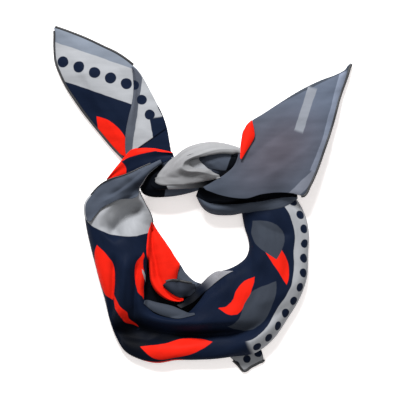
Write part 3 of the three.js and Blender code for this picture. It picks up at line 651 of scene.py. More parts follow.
# %% Left tail
left_tail_rows = table("along left right lift arch", [
    (0.985, 0.0, 0.01, 0.16, 0), (0.96, 0.02, 0.05, 0.18, 0.03), (0.9, 0.11, 0.14, 0.25, 0.1),
    (0.82, 0.21, 0.25, 0.36, 0.15), (0.73, 0.26, 0.36, 0.44, 0.2), (0.65, 0.285, 0.455, 0.5, 0.25),
    (0.56, 0.29, 0.525, 0.54, 0.28), (0.48, 0.29, 0.56, 0.56, 0.3), (0.39, 0.28, 0.545, 0.56, 0.3),
    (0.3, 0.265, 0.52, 0.56, 0.3), (0.2, 0.245, 0.49, 0.56, 0.28), (0.12, 0.215, 0.44, 0.56, 0.22),
    (0.03, 0.17, 0.35, 0.56, 0.12), (-0.03, 0.12, 0.29, 0.56, 0.06),
])
LEFT_TAIL = dict(place=np.array([-0.482, 0.709]) * BAND_REACH, bearing=125, length=170, width=80)
left_tail = leaf(**LEFT_TAIL, height=STRAND_LIFT, rows=left_tail_rows)
left_tail = lay(worked(left_tail, [(3, 34, 30, 0.9), (4, 13, 50, 0.22)], [
    ((-128, 195), (-78, 95), 1.6, 7, -4),
    ((-90, 182), (-60, 110), -1.8, 6, 5),
]), skirt=5)
finish_cloth("left_tail", left_tail, NAVY, [
    ("box", (-100, 196), (70, 14), -19, linear(104, 111, 122)),
    ("box", (-108, 169), (70, 17), -19, PALE),
    ("dots", (-108, 170), (8.4, 5.6), -19, NAVY),
    ("petal", (-90, 106), (26, 10), -52, VERMILION),
])

# %% [markdown]
# The side towards the knot is turned over and shows the back of the border. The tail's own grid could be
# bent back, but then the print of both plies would run into each other. So the turned side is a leaf of
# its own, laid on the tail. It lies loose: its free edge is a soft round fold, a little raised, and a dark
# line along it, where the plies meet, is painted shade of that fold.

# %% The side of the left tail that is turned over
left_turn_rows = table("along left right lift arch", [
    (0.53, -0.515, 0.53, 0.1, 0), (0.48, -0.46, 0.55, 0.6, 0.3), (0.42, -0.38, 0.54, 0.9, 0.5),
    (0.36, -0.27, 0.53, 1.0, 0.6), (0.3, -0.13, 0.51, 1.0, 0.6), (0.24, 0.0, 0.49, 0.9, 0.5),
    (0.18, 0.1, 0.47, 0.7, 0.4), (0.12, 0.18, 0.42, 0.4, 0.2),
])
left_turn = leaf(**LEFT_TAIL, height=4, rows=left_turn_rows, cell=0.8)
left_turn = ridged(lay(worked(left_turn, [(6, 22, 20, 0.5)]), skirt=3), (2.2, 0.12, 0.16))
finish_cloth("left_tail_turn", left_turn, PALE, [
    # Painted shade: the dark strip along the turned free edge, where the plies meet.
    ("box", (-74, 133), (9, 80), -8, linear(70, 74, 83)),
    ("dots", (-53, 128), (8.4, 5.0), -62, NAVY),
    ("box", (-40, 100), (9, 26), 10, NAVY),
], turned=[(FIRST_EDGE, 1.4, 165)])

# %% [markdown]
# A pleat of the left tail stands up along the knot like a small collar, and its printed edge is what
# shows. A crease in the tail could hint at it, but the pleat covers the cloth beside it. So it is a short
# leaf of its own, with a ridge at its front and a valley behind.

# %% Pleat beside the knot
pleat_rows = table("along left right lift arch", [
    (0.0, 0.04, 0.03, 0.2, 0), (0.12, 0.3, 0.05, 0.4, 0.1), (0.25, 0.56, 0.12, 0.6, 0.15),
    (0.38, 0.81, 0.2, 0.75, 0.2), (0.49, 0.88, 0.25, 0.8, 0.2), (0.62, 0.79, 0.2, 0.8, 0.2),
    (0.75, 0.62, 0.12, 0.8, 0.15), (0.87, 0.39, 0.08, 0.8, 0.1), (0.96, 0.2, 0.04, 0.8, 0),
])
PLEAT_PLACE = np.array([-0.873, 0.573]) * BAND_REACH
pleat = leaf(PLEAT_PLACE, bearing=19, length=74, width=22, height=STRAND_LIFT, rows=pleat_rows, cell=0.7)
pleat = ridged(pleat, (1.2, 0.12, 0.14), (-1.6, 0.5, 0.2))
pleat = lay(worked(pleat, [(8, 18, 20, 0.4)]), skirt=2)
finish_cloth("left_tail_pleat", pleat, NAVY, [
    ("box", (38, -11), (44, 4.2), 3, VERMILION),
    ("disc", (0, 0), (24, 16), 0, VERMILION),
], flat=spread_flat(pleat), turned=[(FIRST_EDGE, 1.3, 165)])

# %% [markdown]
# The band is the folded square itself, rolled softly round the neck. A torus would be too even, and a
# bevelled curve keeps one section all the way, while the real band swells, flattens and climbs. So one
# table gives its plan and height at each bearing from the hole's middle. Another gives the curl of its
# section, with the slit hidden underneath at the neck.

# %% Sections of the band
band_rows = table("bearing hole width height lift", [
    (116, 1.78, 0.07, 0.4, 1.0), (122, 1.76, 0.1, 0.42, 1.0), (128, 1.74, 0.15, 0.45, 1.0),
    (135, 1.68, 0.26, 0.5, 1.0), (140, 1.64, 0.37, 0.55, 0.95), (145, 1.42, 0.68, 0.62, 0.75),
    (150, 1.22, 0.95, 0.75, 0.4), (156, 1.1, 1.12, 0.88, 0.12), (162, 1.08, 1.18, 0.95, 0),
    (170, 1.06, 1.1, 1.0, 0), (180, 1.06, 1.0, 1.05, 0), (190, 1.08, 0.93, 1.1, 0),
    (200, 1.18, 0.85, 1.1, 0), (210, 1.3, 0.8, 1.05, 0), (220, 1.52, 0.75, 0.95, 0),
    (227, 1.66, 0.74, 0.85, 0), (234, 1.7, 0.8, 0.8, 0), (241, 1.66, 0.82, 0.8, 0),
    (249, 1.58, 0.82, 0.85, 0), (257, 1.44, 0.8, 0.9, 0), (266, 1.16, 0.98, 1.0, 0),
    (275, 0.92, 1.17, 1.05, 0), (285, 0.82, 1.27, 1.1, 0), (295, 0.72, 1.42, 1.1, 0),
    (305, 0.68, 1.42, 1.1, 0), (318, 0.74, 1.27, 1.05, 0), (330, 0.82, 1.17, 1.0, 0),
    (342, 0.9, 1.07, 1.0, 0), (354, 0.92, 0.99, 0.95, 0), (366, 0.9, 1.02, 0.9, 0),
    (378, 0.88, 1.02, 0.85, 0), (390, 0.92, 0.92, 0.75, 0), (400, 1.0, 0.75, 0.65, 0),
    (408, 1.1, 0.62, 0.6, 0),
])
band_profile = table("across rise", [
    (-0.8, 0), (-0.3, 0), (0.3, 0), (0.82, 0), (0.96, 0.14), (1.0, 0.34), (0.95, 0.58), (0.8, 0.8),
    (0.55, 0.94), (0.28, 1.0), (0, 0.99), (-0.28, 1.0), (-0.55, 0.95), (-0.78, 0.84), (-0.93, 0.66),
    (-1.0, 0.46), (-0.97, 0.27),
])
band_hole, band_width, band_stands, band_lift = (
    follow(band_rows, "bearing", key) for key in ("hole", "width", "height", "lift"))


def on_band(bearing, across):
    """The plan of a place on the band: across is -1 at the hole and 1 outside."""
    bearing = np.asarray(bearing, float)
    radius = band_hole(bearing) * HOLE_RADIUS + (across + 1) / 2 * band_width(bearing) * BAND_WIDTH
    return radius[..., None] * turned_to(bearing)


widths = band_rows["width"] * BAND_WIDTH
print(f"band width, mm: {widths.min():.1f} in the knot to {widths.max():.1f} at its broadest")

# %% [markdown]
# The left end of the band climbs over the tail into the knot. At a fixed height it would cut into what
# lies there. So each section stands on a floor that rises over what lies below it, found by the same
# rays, and the floor is smoothed along the band to keep the climb gentle.

# %% The band's curl
RAY_EVERY, FLOOR_SOFTENED = 4, 60


def band_grid(steps=430, columns=96):
    """The fine grid of the band's curl, on a floor that rises over what lies below it."""
    curl = np.stack([band_profile["across"] * BAND_WIDTH / 2, band_profile["rise"] * BAND_HEIGHT], axis=1)
    rows = dict(band_profile, at=run_along(curl) / run_along(curl)[-1])
    at = np.linspace(0, 1, columns + 1)
    across, rise = follow(rows, "at", "across")(at), follow(rows, "at", "rise")(at)
    bearing = np.linspace(band_rows["bearing"][0], band_rows["bearing"][-1], steps + 1)
    plan = on_band(bearing[:, None] + 0 * across, across[None, :])
    grid = np.dstack([plan, np.zeros(plan.shape[:2])])
    floor = widened(pile_top(grid[:, ::RAY_EVERY], pile), 2).max(axis=1)
    floor = np.where(floor > 0, floor + CLEAR, 0)
    floor = np.maximum(softened(floor[:, None].repeat(3, axis=1), FLOOR_SOFTENED)[:, 1], floor)
    floor = np.maximum(floor, np.clip(band_lift(bearing), 0, 1) * STRAND_LIFT)
    height = (band_stands(bearing) * BAND_HEIGHT)[:, None]
    grid[..., 2] = floor[:, None] + np.clip(rise, 0, 2)[None, :] * height
    return grid, bearing, across, rise


band, band_bearing, band_across, band_risen = band_grid()
print("points of the band's grid:", band.shape[:2])

# %% [markdown]
# Long creases run along the band where the cloth was pressed by the folding. The deepest is the valley
# between its two rolls at the bottom of the loop. They could be sculpted, but a list of lines is easy to
# read and to move. Each has its two ends in plan, then its depth, its width and how far it bows.

# %% Creases of the band
band_creases = [
    ((-96, -76), (66, -82), -14.0, 6.5, -12),
    ((-104, -84), (56, -96), -4.5, 13, -8),
    ((-100, -82), (-40, -98), -6.0, 11, -4),
    ((-66, -70), (48, -74), 4.0, 7, -7),
    ((-76, -8), (-80, -82), 4.0, 7, -1),
    ((-63, -10), (-68, -82), -6.0, 4, -2),
    ((-89, -8), (-94, -84), -5.5, 3.6, 2),
    ((-96, -86), (-58, -86), -6.0, 6, -3),
    ((-95, 4), (-58, 41), -13.0, 7.5, 3),
    ((-108, 20), (-66, 52), 2.2, 5, 3),
    ((-106, 18), (-80, 4), -1.8, 5, 2),
    ((24, -104), (80, -70), 1.6, 6, -6),
    ((34, -88), (90, -56), -2.4, 5, -5),
    ((48, -62), (98, -34), 1.6, 7, -5),
    ((60, -34), (70, 40), 1.4, 8, 5),
    ((92, -40), (84, 34), -1.8, 7, -4),
    ((50, 24), (92, 8), -1.8, 6, -4),
]
print("creases pressed into the band:", len(band_creases))

# %% [markdown]
# The creases and a few soft ripples go into the top of the band only, because its underside lies on the
# table. Added as they are, the deepest would sink through the cloth below. So a soft limit lets them
# level out just above it.

# %% Pressing the creases in
TOP_FROM, TOP_BLEND = 0.4, 0.35
CROWN_COLUMN = 60
FLOOR_OF_FOLD = 3.0
across_band = band_across[None, :] * (band_width(band_bearing) * BAND_WIDTH / 2)[:, None]
along_band = run_along(band[:, CROWN_COLUMN])[:, None] + 0 * across_band
shape = ripples(along_band, across_band, 11, 26, 84, 0.6) + ripples(along_band, across_band, 12, 10, 78, 0.08)
for line in band_creases:
    shape += crease(band[..., 0], band[..., 1], *line)
on_top = np.clip((band_risen - TOP_FROM) / TOP_BLEND, 0, 1)[None, :]
sunk = band[..., 2] + on_top * shape
soft_floor = FLOOR_OF_FOLD * np.log1p(np.exp(np.clip((sunk - 1) / FLOOR_OF_FOLD, -20, 20))) * on_top
band[..., 2] = np.where(on_top > 0, np.maximum(soft_floor, sunk), sunk)
at_bottom = int(np.argmin(np.abs(band_bearing - 270)))
print("band height at the bottom of the loop, mm:", band[at_bottom, :, 2].max().round(1))

# %% [markdown]
# The print follows the outer edge of the band, where the border of the square runs. Motifs placed in plan
# would slide off a curl. So the flat coordinates are measured from that outer edge, and each motif is put
# at a bearing and a place across the top, as someone would name it who holds the band.

# %% Print of the band
band_flat = spread_flat(band)
outer_side = int(np.argmin(np.abs(band_risen - 0.5) + (band_across < 0)))
band_flat[..., 1] -= band_flat[:, outer_side:outer_side + 1, 1]


def print_place(bearing, across):
    """The flat coordinates, in mm, of a place on the top of the band."""
    row = int(np.argmin(np.abs(band_bearing - bearing)))
    tops = np.where(band_risen > TOP_FROM, np.abs(band_across - across), 9)
    return tuple(band_flat[row, int(np.argmin(tops))] / MM)


patch_u, patch_v = print_place(164, 0.0)
band_motifs = [
    ("box", print_place(352, 0.9), (112, 12), 0, PALE),
    ("dots", print_place(360, 0.86), (7.4, 4.4), 0, NAVY),
    ("box", print_place(226, 0.86), (104, 16), 0, NAVY),
    ("disc", (patch_u - 37, patch_v), (60, 62), 0, PALE),
    # The two near-black glows are painted shade: in the deep hollow at the lower left of the loop, and along
    # the valley between the band's two rolls.
    ("glow", print_place(233, 0.45), (34, 20), 0, BLACK_AND_SHADE),
    ("glow", print_place(256, -0.1), (60, 7), 0, BLACK_AND_SHADE),
    ("petal", print_place(197, 0.72), (30, 12), 0, VERMILION),
    ("petal", print_place(208, -0.66), (36, 6), -4, VERMILION),
    ("petal", print_place(209, -0.9), (12, 1.5), 8, PALE),
    ("petal", print_place(221, 0.3), (32, 4), 16, VERMILION),
    ("petal", print_place(256, 0.42), (40, 11), 4, VERMILION),
    ("petal", print_place(305, -0.25), (44, 8), -6, VERMILION),
    ("petal", print_place(309, 0.2), (46, 14), -6, DIM_SLATE),
    ("petal", print_place(350, -0.1), (34, 9), 24, VERMILION),
    ("petal", print_place(366, -0.35), (34, 16), 14, DIM_SLATE),
    ("petal", print_place(252, 1.0), (22, 2.6), 0, VERMILION),
]
finish_cloth("loop_band", band, NAVY, band_motifs, flat=band_flat)

# %% [markdown]
# What lies inside the loop bends round the neck hole, as a collar does. A leaf would need a curved middle
# line. So these pieces are given in sections square to the hole: a radius and a height at each bearing
# and each share across.

# %% Sections round the neck hole
def ring(first, last, place, steps, columns):
    """A sheet in sections square to the neck hole: radius and height at each bearing and share across."""
    bearing = np.linspace(first, last, steps + 1)[:, None]
    share = np.linspace(0, 1, columns + 1)[None, :]
    radius, z = place(bearing, share)
    plan = radius[..., None] * turned_to(bearing + 0 * share)
    return np.dstack([plan, z])


def above_table(grid):
    """The grid with nothing below the table."""
    grid[..., 2] = np.maximum(grid[..., 2], SILK + CLEAR)
    return grid


inner_edges = band_hole(np.array([180.0, 270.0])) * HOLE_RADIUS
print("inner edge of the band at the left and below, mm from the middle:", inner_edges.round(1))

# %% [markdown]
# The lowest of them is the cloth below the flap, deep in shade. Its near-black ground is painted shade. It
# could be spared, but then the white table would shine in under the flap. A low sheet that runs in under
# the band is enough.

# %% Cloth below the flap
UNDER_BAND = 4
under_rows = table("bearing hole", [
    (196, 0.7), (208, 0.66), (226, 0.645), (238, 0.7), (250, 0.76), (258, 0.8), (270, 0.83), (284, 0.86),
])
under_profile = table("share height", [(0, 3.0), (0.12, 4.2), (0.3, 2.4), (0.5, 1.2), (1.0, 0.9)])


def under_place(bearing, share):
    """The cloth below the flap, from the neck hole to the dark floor and in under the band."""
    inner = np.interp(bearing, under_rows["bearing"], under_rows["hole"]) * HOLE_RADIUS
    outer = band_hole(bearing) * HOLE_RADIUS + UNDER_BAND
    rise = np.interp(share, under_profile["share"], under_profile["height"])
    return inner + (outer - inner) * share, rise + 0 * bearing


under = above_table(worked(ring(196, 284, under_place, steps=130, columns=60), [(14, 12, 60, 0.25)]))
# Its near-black ground is painted shade, for the deep shadow under the flap.
finish_cloth("flap_under", under, BLACK_AND_SHADE, [
    ("petal", (-12, -32), (30, 13), -38, SLATE),
    ("petal", (2, -44), (12, 8), 20, DEEP_SLATE),
], turned=[(FIRST_EDGE, 1.6, 165)], replaces=())

# %% [markdown]
# The flap is red cloth that shows on the left of the loop. It could be printed on the band, but it is
# another ply with its own shadow. Its edge at the neck is a fold. Beyond its ridge it falls into a dark
# valley, and its outer edge is rolled under beside the band. A profile across it says that better than an
# arch.

# %% Flap inside the band
flap_rows = table("bearing hole brim height", [
    (158, 1.07, 1.1, 0.5), (162, 0.99, 1.1, 0.6), (169, 0.87, 1.1, 0.75), (178, 0.76, 1.1, 0.9),
    (192, 0.67, 1.13, 1.0),
    (200, 0.65, 1.14, 1.0), (208, 0.64, 1.2, 1.0), (216, 0.64, 1.28, 1.0), (224, 0.66, 1.33, 1.0),
    (232, 0.84, 1.34, 0.95), (240, 1.04, 1.32, 0.9), (248, 1.14, 1.26, 0.85), (251, 1.18, 1.2, 0.8),
])
flap_profile = table("share rise", [
    (0, 0.5), (0.15, 0.72), (0.4, 0.9), (0.62, 0.86), (0.76, 0.72), (0.88, 0.96), (0.95, 1.0), (1.0, 0.86),
])
FLAP_HEIGHT = 12


def flap_place(bearing, share):
    """The flap from the neck hole outwards to its brim."""
    inner = follow(flap_rows, "bearing", "hole")(bearing) * HOLE_RADIUS
    outer = follow(flap_rows, "bearing", "brim")(bearing) * HOLE_RADIUS
    rise = follow(flap_profile, "share", "rise")(share) * follow(flap_rows, "bearing", "height")(bearing)
    return inner + (outer - inner) * share, rise * FLAP_HEIGHT


flap = ring(158, 251, flap_place, steps=156, columns=56)
flap = above_table(worked(flap, [(15, 24, 10, 0.4)], [((-47, 4), (-42, -44), -1.4, 4, -2)]))
finish_cloth("inner_flap", lay(flap, skirt=2), VERMILION,
             turned=[(FIRST_EDGE, 2.4, 165), (LAST_EDGE, 3.2, 175)])

# %% [markdown]
# Two more folds come up from the inside of the band. The first is a crescent of slate cloth that leans on
# the band at the bottom of the loop. A crease would leave it navy and flat, so it is a narrow strip
# between two edges, with its front edge turned.

# %% Slate fold at the bottom of the loop
crescent_rows = table("ox oy oz ix iy iz crown", [
    (-59, -60, 7, -58, -57, 7, 0), (-50, -68, 9, -46, -60, 8, 1.6), (-38, -73, 10, -32, -63, 8, 2.2),
    (-25, -75, 10, -22, -67, 8, 2.0), (-15, -73, 9, -14, -70, 8, 1.0), (-8, -71, 8, -8, -70, 8, 0),
])
crescent = lay(strip(crescent_rows, cell=0.5), skirt=1.5)
finish_cloth("slate_fold", crescent, DIM_SLATE, turned=[(LAST_EDGE, 2.6, 175)], replaces=())

# %% [markdown]
# The second is the band's own inner ply, which rolls up at the neck. A tube would be too round, because
# the roll is flattened where it leans on the band, so it is a strip with a high crown. It is pale where
# the light reaches it. Where it dips under the flap it is dark, and two soft glows in its print stand for
# that shade.

# %% Pale roll at the neck
roll_up_rows = table("ox oy oz ix iy iz crown", [
    (-22, -65, 8, -26, -62, 7, 0), (-10, -59, 10, -15, -54.5, 6, 1.6), (-1, -51, 11, -8, -47, 5, 2.2),
    (7, -44, 11, -1, -40, 4, 2.6), (14, -38, 11, 6, -33, 4, 2.6), (22, -32, 10.5, 13, -28.5, 4, 2.2),
    (27, -29, 9, 20, -27.6, 5, 1.2), (30, -27.6, 8, 27, -27.4, 5, 0),
])
ROLL_PALE = linear(118, 119, 124)
pale_roll = lay(strip(roll_up_rows, cell=0.5), skirt=1)
finish_cloth("pale_roll", pale_roll, ROLL_PALE, [
    ("glow", (-2, -48), (12, 12), 45, NAVY),
    ("glow", (-16, -57), (20, 14), 45, BLACK_AND_SHADE),
], turned=[(LAST_EDGE, 2.8, 175)], replaces=())

# %% [markdown]
# On the flap lies a small leaf of slate cloth like the mouth of a pocket. It could be a patch of print,
# but it has a hem and a shadow. So it is a leaf of its own, slightly blown up, and its upper edge gets a
# thin hem later.

# %% Small pocket fold on the flap
pocket_rows = table("along left right lift arch", [
    (0.0, 0.03, 0.03, 0.1, 0), (0.1, 0.18, 0.2, 0.5, 0.3), (0.3, 0.26, 0.44, 1.0, 0.8),
    (0.55, 0.22, 0.6, 1.0, 1.0), (0.8, 0.16, 0.5, 1.0, 0.8), (0.95, 0.14, 0.25, 0.6, 0.2),
])
POCKET_PLACE = np.array([-0.8, -0.84]) * HOLE_RADIUS
POCKET_BLOWN = 1.2
POCKET_DARK = linear(24, 27, 34)
pocket = leaf(POCKET_PLACE, bearing=-3, length=34, width=19, height=4, rows=pocket_rows, cell=0.5)
pocket = lay(pocket, skirt=2.5)
pocket[..., 2] += POCKET_BLOWN * np.sin(np.linspace(0, math.pi, pocket.shape[1]))[None, :]
finish_cloth("pocket_fold", pocket, POCKET_DARK, [
    ("glow", (-26, -43), (9, 4), -10, linear(48, 52, 62)),
])

# %% [markdown]
# One corner of the square lies out from under the band, at the lower right, with the printed border and a
# hem. A flat triangle would miss the curve of its hem. So it is given by how far it reaches out from the
# band at each bearing.

# %% Hemmed corner
CORNER_REACH, TUCKED_IN = 17, 3
corner_rows = table("bearing reach", [
    (283.5, 0.06), (286, 0.5), (287.6, 0.9), (291.5, 0.7), (295, 0.6), (297.6, 0.56), (298.6, 0.1),
])


def corner_place(bearing, share):
    """The corner from under the band's outer edge to its own hem."""
    edge = band_hole(bearing) * HOLE_RADIUS + band_width(bearing) * BAND_WIDTH - TUCKED_IN
    reach = follow(corner_rows, "bearing", "reach")(bearing) * CORNER_REACH + TUCKED_IN
    return edge + share * reach, 2.4 - 1.2 * share + 0 * bearing


corner = worked(ring(283.5, 298.6, corner_place, steps=90, columns=26), [(18, 14, 60, 0.25)])
finish_cloth("loop_corner", corner, PALE, [("dots", (44, -116), (6.4, 4.0), 28, NAVY)])

# %% [markdown]
# The strand is the end of the band that was passed through the knot. It widens as it comes down over the
# left side of the band. It could be a ridge of the band, but it has a real edge. So it is a sheet that
# follows the band's own sections and rests on it by the rays, and a few creases show where the knot pulls
# it.

# %% Upper strand
strand_rows = table("bearing edge", [
    (117, 0.04), (126, 0.04), (134, 0.05), (141, 0.06), (147, 0.33), (152, 0.56), (158, 0.69),
    (164, 0.79), (169, 0.91),
])
strand_creases = [
    ((-98, 18), (-62, 52), 2.2, 5, -3),
    ((-92, 14), (-66, 40), -3.0, 5, 3),
    ((-60, 14), (-62, 48), 1.8, 5, 2),
    ((-106, 24), (-50, 66), -2.6, 3.6, -3),
    ((-108, 38), (-54, 74), 2.2, 4, -4),
    ((-100, 44), (-56, 76), -2.0, 3, -3),
]


def strand_place(bearing, share):
    """The strand between its inner edge and the outside of the band."""
    edge = np.minimum(follow(strand_rows, "bearing", "edge")(bearing), 0.93)
    across = edge + (0.97 - edge) * share
    return band_hole(bearing) * HOLE_RADIUS + across * band_width(bearing) * BAND_WIDTH, 0 * across


strand = lay(ring(117, 169, strand_place, steps=150, columns=70), skirt=3, rest=1.6)
strand = lay(worked(strand, [(21, 14, 130, 0.5)], strand_creases), skirt=1)
# The dark slate glow near the knot is painted shade, where the strand goes in under the knot.
finish_cloth("strand_fold", strand, SLATE, [("glow", (-62, 60), (16, 5), 38, DEEP_SLATE)])

# %% [markdown]
# Below the right tail the cloth of the band's other end rolls over itself. Its front is a round roll of
# slate silk, and behind the roll it drops into a gap so deep that it looks black. A roll and a dark hole
# could be two pieces, but they would need a seam. One sheet does both: its profile rises steeply and
# falls behind the roll, and the print is dark there.

# %% Roll below the right tail
roll_rows = table("outerX outerY innerX innerY lift arch", [
    (-0.05, -1.48, 0.05, -1.0, 0.53, 0.05), (0.12, -2.05, 0.33, -0.95, 0.5, 0.14),
    (0.36, -2.33, 0.57, -0.78, 0.48, 0.17), (0.76, -2.38, 0.88, -0.75, 0.46, 0.17),
    (1.12, -2.26, 1.19, -0.75, 0.45, 0.17), (1.52, -2.14, 1.52, -0.7, 0.43, 0.16),
    (1.95, -1.98, 1.9, -0.6, 0.4, 0.14), (2.36, -1.62, 2.33, -0.85, 0.3, 0.05),
])
roll_profile = table("share rise", [
    (0, 0.1), (0.1, 0.75), (0.2, 1.0), (0.28, 0.8), (0.39, -0.3), (0.6, -0.3), (1, 0.4),
])
roll = lay(fold(roll_rows, rise=follow(roll_profile, "share", "rise")), skirt=3)
roll, roll_flat = rippled(roll, 24, 12, 80, 0.3)
# The near-black box behind the roll is painted shade, for the black of the deep gap there.
finish_cloth("right_tail_roll", roll, SLATE, [("box", (60, 14), (80, 21), 0, BLACK_AND_SHADE)],
             flat=roll_flat, turned=[(FIRST_EDGE, 3.0, 175)])

# %% [markdown]
# The wrap has a second ply that shows below it as a narrow lip, in shade towards both ends. It could be a
# pale line in the print of the wrap, but it stands clear of it. It goes on before the wrap, so that the
# wrap covers its inner edge.

# %% Lip of the knot
lip_rows = table("ox oy oz ix iy iz crown", [
    (-52, 58, 14, -50, 66, 20, 0), (-43, 54.5, 16, -42, 66, 24, 1), (-28, 54.5, 18, -28, 66, 26, 1.4),
    (-13, 55, 19, -13, 66, 27, 1.4), (2, 57, 20, 2, 67, 27, 1.2), (14, 61, 21, 13, 68, 27, 0.6),
])
lip, lip_flat = rippled(lay(strip(lip_rows), skirt=1.5), 45, 12, 85, 0.3)
# The near-black box and glow at its two ends are painted shade.
finish_cloth("knot_lip", lip, PALE, [("box", (2, 0), (13, 40), 15, BLACK_AND_SHADE), ("glow", (62, 0), (28, 20), 0, BLACK_AND_SHADE)],
             flat=lip_flat, turned=[(FIRST_EDGE, 2.2, 175)])

# %% [markdown]
# The start of the right tail shows through the mouth of the knot as a small lens of cloth, deep in the
# wrap. The tail's own sheet could be drawn up into the knot, but nobody sees the two join. So a small
# leaf is laid on the core by itself.

# %% Heart of the knot
heart_rows = table("along left right lift arch", [
    (0.0, 0.05, 0.05, 0.66, 0), (0.15, 0.32, 0.25, 0.7, 0.05), (0.4, 0.5, 0.42, 0.71, 0.08),
    (0.65, 0.5, 0.5, 0.7, 0.07), (0.85, 0.24, 0.4, 0.68, 0.04), (1.0, 0.06, 0.06, 0.66, 0),
])
HEART_PLACE = np.array([-0.018, 0.727]) * BAND_REACH
heart = leaf(HEART_PLACE, bearing=5, length=36, width=20, height=KNOT_HEIGHT, rows=heart_rows, cell=0.5)
heart = lay(heart, skirt=1.5)
# The near-black box at its right end is painted shade, for the deep gap where the lens goes in under the
# tail.
finish_cloth("knot_heart", worked(heart, [(27, 9, 70, 0.3)]), SLATE, [("box", (37, 85), (9, 30), -20, BLACK_AND_SHADE)])

# %% [markdown]
# The wrap is doubled where it turns, so the far side of the mouth shows the pale inside of the cloth. The
# wrap could carry a second material on its inside, but its edge there is too tight to bend. A small
# curved strip that lines the mouth is simpler.

# %% Lining of the knot's mouth
mouth_rows = table("ox oy oz ix iy iz crown", [
    (-11, 85, 25, -3, 86.5, 27, 0), (-16, 81, 27, -4, 83.5, 29, 0.4), (-17, 75, 28, -2, 80.5, 30, 0),
    (-10, 70, 30, 2, 76.5, 31, -0.4), (2, 67, 30, 7, 72, 31, 0),
])
mouth = lay(strip(mouth_rows, cell=0.5), skirt=1)
finish_cloth("mouth_lining", mouth, PALE, replaces=())

# %% [markdown]
# The right tail slopes from the knot over the band to the surface. A simulation could drop it there, but
# its hem has to end in the right place. So it is a long leaf, laid by the rays, with wide ripples across
# it. Its outer edge is hemmed to the tip and waves a little, as a rolled hem does. A few pale bars in its
# print mark the border, and a thin dark bar along its upper edge is painted shade where that edge rounds
# over.

# %% Right tail
TAIL_WIDTH = 90
HEM_WAVE, HEM_WAVE_REACH, HEM_WAVE_PACE = 0.9, 9, 34
right_tail_rows = table("along left right lift arch", [
    (0.985, 0.01, 0.0, 0.06, 0), (0.96, 0.01, 0.02, 0.08, 0.01), (0.93, 0.0, 0.05, 0.12, 0.03),
    (0.865, 0.03, 0.11, 0.18, 0.05), (0.77, 0.1, 0.2, 0.26, 0.07), (0.64, 0.17, 0.345, 0.36, 0.1),
    (0.5, 0.22, 0.48, 0.46, 0.12), (0.37, 0.26, 0.6, 0.55, 0.14), (0.28, 0.29, 0.665, 0.62, 0.15),
    (0.205, 0.27, 0.7, 0.67, 0.15), (0.165, 0.22, 0.6, 0.7, 0.13), (0.1, 0.13, 0.48, 0.72, 0.1),
    (0.02, 0.06, 0.375, 0.74, 0.06), (-0.06, 0.06, 0.3, 0.76, 0.04), (-0.12, 0.08, 0.19, 0.76, 0.02),
    (-0.17, 0.1, 0.06, 0.74, 0.01), (-0.21, 0.12, -0.08, 0.72, 0),
])
RIGHT_TAIL_PLACE = np.array([0.291, 0.645]) * BAND_REACH
right_tail = leaf(
    RIGHT_TAIL_PLACE, bearing=43, length=161, width=TAIL_WIDTH, height=KNOT_HEIGHT, rows=right_tail_rows)
right_tail = worked(right_tail, [(31, 46, 140, 1.0), (32, 12, 120, 0.16)], [
    ((30, 70), (110, 128), -1.8, 9, 4),
    ((50, 60), (120, 110), 1.2, 8, -4),
])
from_hem = np.linspace(1, 0, right_tail.shape[1])[None, :] * TAIL_WIDTH
run_out = np.linspace(0, 1, len(right_tail))[:, None]
hem_waves = np.sin(run_out * HEM_WAVE_PACE + 1.2 * np.sin(run_out * 9)) * run_out
right_tail[..., 2] += HEM_WAVE * np.exp(-from_hem / HEM_WAVE_REACH) * hem_waves
right_tail = lay(right_tail, skirt=6)
right_tail_motifs = [
    ("glow", (112, 126), (60, 30), 58, linear(84, 92, 107)),
    ("glow", (76, 92), (40, 26), 40, SHOWN_THROUGH),
    ("box", (132.5, 136.5), (36, 5), 75, linear(112, 120, 136)),
    ("box", (102, 60), (19, 4.6), 43, linear(106, 110, 121)),
    ("box", (118.5, 89), (20, 5.2), 68, linear(108, 114, 128)),
    # Painted shade: the thin dark bar along the upper edge, where the cloth rounds over.
    ("box", (113, 159.3), (46, 1.8), 26.5, linear(56, 62, 71)),
    ("box", (102, 133), (4.5, 23), -18, linear(118, 122, 130)),
]
finish_cloth("right_tail", right_tail, SLATE, right_tail_motifs)

# %% [markdown]
# The wrap goes over everything at the knot. It is a broad fold that narrows to the right, and its lower
# edge rolls round into a bright rim before it dives under the lip. A piece of a torus would be a ring and
# not a knot, because the real wrap makes half a turn and leaves its mouth open. So both its edges are
# given, place by place, and a profile blows it up between them.

# %% Wrap of the knot
wrap_rows = table("ox oy oz ix iy iz crown", [
    (17, 65, 28, 16, 67.5, 29, 0), (8, 63, 27, 10, 69, 30, 1.5), (-2, 61.5, 25, 4, 71.5, 32, 2.4),
    (-13, 60, 23, -3, 73.2, 31, 4.0), (-26, 59, 20, -9, 73.8, 31, 6.0), (-39, 59, 18, -13, 75.5, 31, 7.4),
    (-46, 62.5, 17, -15, 78, 31, 8.0), (-42, 71, 16, -14.5, 80.5, 31, 8.2),
    (-35, 79.5, 16, -12.5, 82.5, 32, 8.2), (-27, 87, 15, -8, 84.2, 33, 8.4),
    (-20, 93, 13, -2, 86, 34.5, 8.0), (-11, 97.5, 11, 4, 88, 34, 7.6), (0, 100.3, 9, 10, 90, 33.5, 6.8),
    (12, 101, 10, 17, 91.6, 33, 6.0), (25, 98.8, 14, 27, 92.4, 31, 4.0), (35, 95.4, 20, 34, 91.8, 28, 1.6),
    (41, 92, 24, 39, 89, 26, 0),
])
TURN_FROM, TURN_SHARE = 0.12, 0.5
WRAP_PALE, WRAP_SHADE = linear(127, 128, 130), linear(119, 119, 121)
